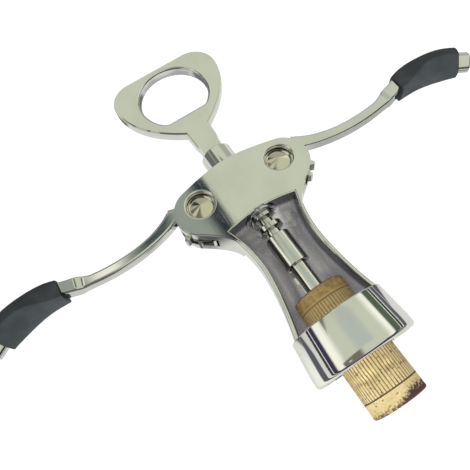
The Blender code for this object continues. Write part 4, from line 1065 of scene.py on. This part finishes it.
class Nodes:
    """A short way to build a node tree."""

    def __init__(self, owner):
        self.tree = owner.node_tree
        self.shader = self.tree.nodes.get("Principled BSDF")
        self.place = None

    def add(self, kind, settings=None, inputs=None):
        node = self.tree.nodes.new(kind)
        for key, value in (settings or {}).items():
            setattr(node, key, value)
        for key, value in (inputs or {}).items():
            if isinstance(value, bpy.types.NodeSocket):
                self.tree.links.new(value, node.inputs[key])
            else:
                node.inputs[key].default_value = value
        return node

    def math(self, operation, first, second=0.0):
        node = self.add("ShaderNodeMath", {"operation": operation}, {0: first, 1: second})
        return node.outputs[0]

    def times(self, first, *others):
        for other in others:
            first = self.math("MULTIPLY", first, other)
        return first

    def split(self, vector):
        return self.add("ShaderNodeSeparateXYZ", None, {0: vector}).outputs

    def noise(self, scale, detail, stretch=None):
        vector = self.place
        if stretch:
            vector = self.add("ShaderNodeMapping", None,
                              {"Vector": vector, "Scale": stretch}).outputs[0]
        node = self.add("ShaderNodeTexNoise", None,
                        {"Vector": vector, "Scale": scale, "Detail": detail, "Distortion": 0.0})
        return node.outputs["Fac"]

    def ramp(self, value, low, high, to_low=0.0, to_high=1.0):
        """Maps a value smoothly from one range to another."""
        node = self.add("ShaderNodeMapRange", {"interpolation_type": "SMOOTHSTEP"}, {
            "Value": value, "From Min": low, "From Max": high, "To Min": to_low,
            "To Max": to_high,
        })
        return node.outputs[0]

    def grain(self, scale, detail, levels=(0.3, 0.7), to=(0.0, 1.0), stretch=None):
        """Noise between two levels, mapped to a range."""
        return self.ramp(self.noise(scale, detail, stretch), *levels, *to)

    def band(self, value, low, high, soft_low, soft_high):
        """One from low to high, nought elsewhere, with a softness at each side."""
        return self.times(self.ramp(value, low - soft_low, low + soft_low),
                          self.ramp(value, high - soft_high, high + soft_high, 1.0, 0.0))

    def mix(self, share, first, second):
        def colour(value):
            return value if isinstance(value, bpy.types.NodeSocket) else (*value, 1.0)
        node = self.add("ShaderNodeMix", {"data_type": "RGBA"},
                        {0: share, 6: colour(first), 7: colour(second)})
        return node.outputs[2]

    def link(self, value, name):
        self.tree.links.new(value, self.shader.inputs[name])

    def fix(self, name, value):
        self.shader.inputs[name].default_value = value

    def bump(self, heights):
        """Stacks bumps given as (height, depth in metres)."""
        normal = None
        for height, depth in heights:
            inputs = {"Height": height, "Distance": depth, "Strength": 1.0}
            if normal:
                inputs["Normal"] = normal
            normal = self.add("ShaderNodeBump", None, inputs).outputs[0]
        self.link(normal, "Normal")


def new_material(name):
    """A material's node tree that reads places in the piece's own frame."""
    material = bpy.data.materials.new(name)
    material.use_nodes = True
    nodes = Nodes(material)
    nodes.material = material
    nodes.place = nodes.add("ShaderNodeTexCoord").outputs["Object"]
    return nodes


def metal(name, colour, roughness, wave_depth, stretch):
    """Polished metal: faint waves, hairline wear and slight changes of tone."""
    nodes = new_material(name)
    nodes.fix("Metallic", 1.0)
    worn = tuple(c * METAL_WORN_SHARE for c in colour)
    tone = nodes.grain(METAL_TONE_SCALE, 3.0, (0.35, 0.7))
    nodes.link(nodes.mix(tone, colour, worn), "Base Color")
    hairlines = nodes.noise(METAL_HAIRLINE_SCALE, 4.0, stretch)
    rough = nodes.ramp(hairlines, 0.45, 0.75, roughness, roughness * METAL_HAIRLINE_ROUGHNESS)
    patches = nodes.grain(METAL_PATCH_SCALE, 3.0, (0.3, 0.8), METAL_PATCH_ROUGHNESS)
    nodes.link(nodes.times(rough, patches), "Roughness")
    nodes.bump([
        (nodes.noise(METAL_WAVE_SCALE, 1.0), wave_depth),
        (nodes.noise(METAL_PEEL_SCALE, 2.0), METAL_PEEL_DEPTH),
        (hairlines, METAL_PEEL_DEPTH),
    ])
    return nodes.material


def plated_inside():
    """Dull even plating inside the casting, with painted shade up the side walls and a painted
    highlight along one band of the channel.
    """
    nodes = new_material("casting_inside")
    nodes.fix("Metallic", INSIDE_METALLIC)
    x, _, height = nodes.split(nodes.place)
    tone = nodes.mix(nodes.grain(INSIDE_WORN_SCALE, 2.0), INSIDE_COLOUR, INSIDE_WORN)
    # Painted highlight along one band of the channel
    tone = nodes.mix(nodes.band(x, *INSIDE_HIGHLIGHT_BAND), tone, INSIDE_PAINTED_HIGHLIGHT)
    # Painted shade, darker up the side walls
    wall = nodes.ramp(height, *INSIDE_WALL_SHADE_HEIGHTS)
    nodes.link(nodes.mix(wall, tone, INSIDE_WALL_SHADE), "Base Color")
    rough = nodes.grain(INSIDE_ROUGH_SCALE, 2.0, to=INSIDE_ROUGHNESS, stretch=(1.0, 0.2, 1.0))
    nodes.link(rough, "Roughness")
    nodes.bump([(nodes.noise(METAL_PEEL_SCALE, 2.0), METAL_PEEL_DEPTH)])
    return nodes.material


def rubber():
    """Soft-touch moulding with a fine matt grain."""
    nodes = new_material("soft_black_grip")
    tone = nodes.grain(RUBBER_TONE_SCALE, 4.0, (0.3, 0.75))
    nodes.link(nodes.mix(tone, RUBBER_DARK, RUBBER_LIGHT), "Base Color")
    nodes.link(nodes.grain(RUBBER_ROUGH_SCALE, 3.0, to=RUBBER_ROUGHNESS), "Roughness")
    nodes.fix("Specular IOR Level", RUBBER_SPECULAR)
    nodes.bump([
        (nodes.noise(RUBBER_GRAIN_SCALE, 2.0), RUBBER_GRAIN_DEPTH),
        (nodes.noise(RUBBER_WAVE_SCALE, 2.0), RUBBER_WAVE_DEPTH),
    ])
    return nodes.material


def cork_lines(nodes, x, y, z):
    """Share of the fine lines along the cork, which fade in places and end at the rings."""
    wobble = nodes.times(nodes.noise(CORK_LINE_WOBBLE_SCALE, 2.0), CORK_LINE_WOBBLE)
    angle = nodes.math("ADD", nodes.math("ARCTAN2", x, z), wobble)
    wave = nodes.math("COSINE", nodes.times(angle, CORK_LINE_COUNT))
    fading = nodes.grain(CORK_LINE_FADE_SCALE, 3.0, (0.3, 0.6), (0.6, 1.0))
    soft = CORK_LINE_END
    ends = nodes.band(y, CORK_RING_LOW + soft, CORK_RING_HIGH - soft, soft, soft)
    return nodes.times(nodes.ramp(wave, 0.42, 0.95), fading, ends)


def cork_stain(nodes, x, y):
    """Share of the wine stain, which reaches up further on the right and has a frayed edge."""
    reach = nodes.times(nodes.grain(STAIN_SCALE, 2.0, (0.35, 0.65), (0.55, 1.0)),
                        nodes.ramp(x, *STAIN_SIDES, *STAIN_REACHES))
    fringe = nodes.grain(STAIN_FRINGE_SCALE, 4.0, to=(-STAIN_FRINGE, STAIN_FRINGE))
    height = nodes.math("SUBTRACT", y, CORK_BOTTOM)
    edge = nodes.math("SUBTRACT", height, nodes.math("ADD", reach, fringe))
    return nodes.ramp(edge, -STAIN_SOFTNESS, STAIN_SOFTNESS, STAIN_SHARE, 0.0)


def cork_material():
    """Natural cork with fine lines, two thin rings, a darker top band, painted shade inside the bell
    and a wine stain.
    """
    nodes = new_material("cork")
    x, y, z = nodes.split(nodes.place)
    colour = nodes.mix(nodes.grain(CORK_TONE_SCALE, 5.0), CORK_DARK, CORK_LIGHT)
    grain = nodes.grain(CORK_FINE_SCALE, 4.0, (0.35, 0.65))
    colour = nodes.mix(nodes.times(grain, CORK_GRAIN_SHARE), colour, CORK_GRAIN)
    printed = cork_lines(nodes, x, y, z)
    colour = nodes.mix(printed, colour, CORK_PRINT)
    for ring in (CORK_RING_LOW, CORK_RING_HIGH):
        away = nodes.math("ABSOLUTE", nodes.math("SUBTRACT", y, ring))
        line = nodes.ramp(away, CORK_RING_WIDTH * 0.6, CORK_RING_WIDTH, CORK_RING_SHARE, 0.0)
        colour = nodes.mix(line, colour, CORK_PRINT)

    specks = nodes.grain(CORK_SPECK_SCALE, 2.0, (0.64, 0.70), stretch=(1.0, 1.6, 1.0))
    colour = nodes.mix(nodes.times(specks, CORK_SPECK_SHARE), colour, CORK_SPECK)
    upper = nodes.mix(nodes.grain(CORK_TOP_SCALE, 5.0, (0.35, 0.65)), CORK_TOP_DARK, CORK_TOP_LIGHT)
    colour = nodes.mix(nodes.ramp(y, *CORK_TOP_HEIGHTS, 0.0, CORK_TOP_SHARE), colour, upper)
    # Painted shade where the cork sits inside the bell
    bell_shade = nodes.ramp(y, *CORK_SHADE_HEIGHTS, 0.0, CORK_SHADE_SHARE)
    colour = nodes.mix(bell_shade, colour, CORK_PAINTED_SHADE)
    nodes.link(nodes.mix(cork_stain(nodes, x, y), colour, CORK_STAIN), "Base Color")
    nodes.link(nodes.grain(CORK_GRAIN_SCALE, 3.0, to=CORK_ROUGHNESS), "Roughness")
    nodes.fix("Specular IOR Level", CORK_SPECULAR)
    nodes.bump([
        (nodes.noise(CORK_BUMP_SCALE, 4.0), CORK_BUMP_DEPTH),
        (nodes.math("SUBTRACT", 1.0, specks), CORK_SPECK_DEPTH),
        (nodes.math("SUBTRACT", 1.0, printed), CORK_PRINT_DEPTH),
    ])
    return nodes.material


def add_camera():
    """Camera where the photograph was taken from, over the end of the bell."""
    data = bpy.data.cameras.new("camera")
    camera = bpy.data.objects.new("camera", data)
    bpy.context.scene.collection.objects.link(camera)
    data.sensor_width = SENSOR_WIDTH
    data.lens = SENSOR_WIDTH * FOCAL_PIXELS / PHOTO_WIDTH
    data.clip_start = MM
    right, down, forward = (Vector(row) for row in CAMERA_ROWS)
    matrix = Matrix((right, -down, -forward)).transposed().to_4x4()
    matrix.translation = CAMERA_PLACE
    camera.matrix_world = matrix
    bpy.context.scene.camera = camera


def add_world():
    """Studio as the metal sees it: grey-green ceiling, bright side walls, dark low walls.

    Diffuse rays meet an even white dome and the camera sees plain white.
    """
    world = bpy.data.worlds.new("studio")
    bpy.context.scene.world = world
    world.use_nodes = True
    nodes = Nodes(world)
    x, y, z = nodes.split(nodes.add("ShaderNodeTexCoord").outputs["Generated"])
    turn = nodes.math("ARCTAN2", y, nodes.math("ABSOLUTE", x))
    right = nodes.ramp(x, *WALL_SIDE_BLEND)
    low = nodes.mix(right, WALL_LEFT_LOW, WALL_RIGHT_LOW)
    colour = nodes.mix(nodes.ramp(z, *WALL_FOOT_LEVELS), WALL_FOOT, low)
    colour = nodes.mix(nodes.band(z, *WALL_SLIT_BAND), colour, WALL_BRIGHT)
    level = nodes.math("SUBTRACT", z, nodes.times(right, WALL_RIGHT_DROP))
    colour = nodes.mix(nodes.ramp(level, *WALL_BRIGHT_LEVELS), colour, WALL_BRIGHT)
    far = nodes.mix(right, WALL_FAR_LEFT, WALL_FAR_RIGHT)
    colour = nodes.mix(nodes.ramp(turn, *WALL_FAR_TURNS), colour, far)
    colour = nodes.mix(nodes.ramp(turn, *WALL_NEAR_TURNS, 1.0, 0.0), colour, WALL_NEAR)
    colour = nodes.mix(nodes.ramp(z, *CEILING_LEVELS), colour, CEILING)
    rise = nodes.math("MAXIMUM", z, LEAST_RISE)
    slope_x, slope_y = nodes.math("DIVIDE", x, rise), nodes.math("DIVIDE", y, rise)
    for x_from, x_to, y_from, y_to, soft_from, soft_to, shade in CEILING_PATCHES:
        share = nodes.times(nodes.band(slope_x, x_from, x_to, soft_from, soft_to),
                            nodes.band(slope_y, y_from, y_to, *CEILING_PATCH_SOFTNESS),
                            nodes.ramp(z, *CEILING_PATCH_LEVELS))
        colour = nodes.mix(share, colour, shade)
    path = nodes.add("ShaderNodeLightPath")
    colour = nodes.mix(path.outputs["Is Diffuse Ray"], colour, DOME)
    colour = nodes.mix(path.outputs["Is Camera Ray"], colour, BACKDROP)
    background = nodes.tree.nodes["Background"]
    nodes.tree.links.new(colour, background.inputs[0])
    background.inputs[1].default_value = 1.0


def add_light():
    """Soft even light from the front, that lays no shadow on the floor."""
    data = bpy.data.lights.new("soft_front", "SUN")
    data.energy = LIGHT_STRENGTH
    data.angle = LIGHT_SPREAD
    data.use_shadow = False
    light = bpy.data.objects.new("soft_front", data)
    bpy.context.scene.collection.objects.link(light)
    light.rotation_euler = (-Vector(LIGHT_FROM)).to_track_quat("-Z", "Y").to_euler()
    light.visible_glossy = False
    light.visible_camera = False


def add_floor():
    """Pale floor; only in reflections it is greyer, with painted shade and shadow and the lighter
    tones that the metal mirrors.
    """
    half = FLOOR_SIZE / 2
    points = [(-half, -half, 0), (half, -half, 0), (half, half, 0), (-half, half, 0)]
    floor = new_object("floor", (points, [(0, 1, 2, 3)]), (0, 0, -FLOOR_DROP))
    nodes = new_material("pale_floor")
    worn = tuple(c * FLOOR_WORN_SHARE for c in FLOOR_COLOUR)
    bare = nodes.mix(nodes.grain(FLOOR_TONE_SCALE, 2.0), FLOOR_COLOUR, worn)
    x, y, _ = nodes.split(nodes.place)
    # Painted shade and shadow on the floor that only reflections see
    seen = FLOOR_IN_METAL
    for x_from, x_to, y_from, y_to, soft, shade in FLOOR_PATCHES:
        share = nodes.times(nodes.band(x, x_from, x_to, soft, soft),
                            nodes.band(y, y_from, y_to, soft, soft))
        seen = nodes.mix(share, seen, shade)
    mirrored_ray = nodes.add("ShaderNodeLightPath").outputs["Is Glossy Ray"]
    nodes.link(nodes.mix(mirrored_ray, bare, seen), "Base Color")
    nodes.fix("Roughness", FLOOR_ROUGHNESS)
    nodes.fix("Specular IOR Level", FLOOR_SPECULAR)
    floor.data.materials.append(nodes.material)


def finish_piece(obj, name, body, angle=SMOOTH_ANGLE, weighted=True):
    """Names a piece after the node that it stands for, and hangs it on its body."""
    obj.name = f"{name}_finish"
    smooth(obj, angle, weighted)
    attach(obj, body)
    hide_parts(name)


def add_casting(chrome, inside):
    """Bell, body, yoke and neck in one, with the duller plating inside the channel."""
    slot = prism(slot_outline(), -SLOT_HALF, SLOT_HALF)
    casting = carve("casting", bell(), [
        ("UNION", body_channel()),
        ("UNION", prism(yoke_outline(), -YOKE_HALF_DEPTH, YOKE_HALF_DEPTH, YOKE_EDGE)),
        ("UNION", neck()),
        ("DIFFERENCE", slot),
        ("DIFFERENCE", mirrored(slot)),
        ("DIFFERENCE", yoke_bore()),
        ("DIFFERENCE", pin_hole(1)),
        ("DIFFERENCE", pin_hole(-1)),
    ], AXIS_PLACE, chrome)
    casting.data.materials.append(inside)
    for face in casting.data.polygons:
        x, y, z = face.center
        reach = min(math.hypot(x, z), abs(x) + BODY_WALL)
        facing = face.normal.x * x + face.normal.z * z < -INSIDE_TURN_SHARE * reach
        in_channel = BELL_LENGTH / 2 < y < WINDOW_TOP_CENTRE + BUSH_FLANGE_THICKNESS
        below_edge = z < WALL_FRONT - BODY_EDGE and abs(face.normal.z) < INSIDE_LEVEL_NORMAL
        if in_channel and facing and below_edge:
            face.material_index = 1
    finish_piece(casting, "frame_casting", "frame")


def add_pins(steel):
    """The headed pins at the front and their domed caps at the back."""
    pin, cap = pin_bodies()
    for side, word in ((1, "right"), (-1, "left")):
        place = AXIS_PLACE + Vector((side * PIN_OUTWARD, PIN_HEIGHT, 0))
        front = new_object("pin", turned_flat(pin, 0, 0), place, steel)
        finish_piece(front, f"{word}_pivot_pin", "frame")
        points, faces = turned_flat(cap, 0, 0)
        back = outward(([(x, y, -z) for x, y, z in points], faces))
        finish_piece(new_object("cap", back, place, steel), f"{word}_pivot_cap", "frame")


def add_spindle(chrome, steel, bush_steel, cork_skin):
    """What lies along the spindle's axis: bush, rack, shank, cork and opener."""
    ring = new_object("bush", bush(), AXIS_PLACE, bush_steel)
    finish_piece(ring, "guide_bush", "bush")
    finish_piece(new_object("rack", rack(), AXIS_PLACE, steel), "rack_spindle", "spindle")
    finish_piece(new_object("shank", shank(), AXIS_PLACE, steel), "worm_shank", "spindle")
    cork = new_object("plug", cork_body(), AXIS_PLACE, cork_skin)
    finish_piece(cork, "cork", "spindle", weighted=False)
    plate = prism(handle_outline(), -HANDLE_HALF_THICKNESS, HANDLE_HALF_THICKNESS, HANDLE_EDGE)
    socket_top = COLLAR_BOTTOM + TENON_LENGTH + GAP
    opener = carve("opener", plate, [
        ("INTERSECT", stem_turning()),
        ("UNION", cylinder(RACK_RADIUS, COLLAR_BOTTOM, COLLAR_TOP)),
        ("DIFFERENCE", hole_cutter()),
        ("DIFFERENCE", cylinder(TENON_RADIUS + GAP, COLLAR_BOTTOM - OVERRUN, socket_top)),
    ], AXIS_PLACE, chrome)
    finish_piece(opener, "opener_handle", "spindle")


def paint_gear_shade(lever, gear_painted_shade):
    """Paints shade on the flanks and roots of the lower gear teeth, with a dark steel."""
    lever.data.materials.append(gear_painted_shade)
    for face in lever.data.polygons:
        x, y, z = face.center
        tooth = GEAR_ROOT_RADIUS - HEAD_EDGE < math.hypot(x, y) < GEAR_TIP_RADIUS - HEAD_EDGE
        if tooth and y < 0 and abs(z) < HEAD_HALF_THICKNESS / 2:
            face.material_index = 1


def add_wing(word, side, metals, grip_rubber):
    """Gear head, arm, grip and end cap of one wing; the left one mirrors the right one."""
    flip = outward if side > 0 else mirrored
    place = AXIS_PLACE + Vector((side * PIN_OUTWARD, PIN_HEIGHT, 0))
    body = f"{word}_wing"
    web_half, bore_half = HEAD_HALF_THICKNESS - WEB_THINNING, ARM_HALF_THICKNESS + OVERRUN
    head = prism(head_outline(), -HEAD_HALF_THICKNESS, HEAD_HALF_THICKNESS)
    lever = carve("lever", flip(head), [
        ("UNION", flip(prism(web_outline(), -web_half, web_half))),
        ("UNION", flip(arm_body())),
        ("UNION", flip(tang_body(0, TANG_PAST_GRIP))),
        ("DIFFERENCE", turned_flat(cylinder(PIN_RADIUS + GAP, -bore_half, bore_half), 0, 0)),
    ], place, metals["lever_chrome"])
    paint_gear_shade(lever, metals["gear_painted_shade"])
    finish_piece(lever, f"{word}_lever", body)
    room = flip(tang_body(GAP, TANG_PAST_GRIP + GAP))
    grip = carve("grip", flip(grip_body()), [("DIFFERENCE", room)], place, grip_rubber)
    finish_piece(grip, f"{word}_grip", body, GRIP_SMOOTH_ANGLE)
    chrome = metals["end_cap_chrome"]
    cap = carve("cap", flip(cap_body()), [("DIFFERENCE", room)], place, chrome)
    finish_piece(cap, f"{word}_end_cap", body, CAP_SMOOTH_ANGLE)


def main():
    bpy.context.scene.view_settings.view_transform = "Standard"
    add_camera()
    add_world()
    add_floor()
    add_light()

    metals = {name: metal(name, *look) for name, look in METALS.items()}
    chrome, steel = metals["casting_chrome"], metals["bright_steel"]
    add_casting(chrome, plated_inside())
    add_pins(metals["pin_steel"])
    add_spindle(chrome, steel, metals["bush_steel"], cork_material())
    grip_rubber = rubber()
    for word, side in (("right", 1), ("left", -1)):
        add_wing(word, side, metals, grip_rubber)
    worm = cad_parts["worm"]
    worm.data.materials.clear()
    worm.data.materials.append(steel)


main()
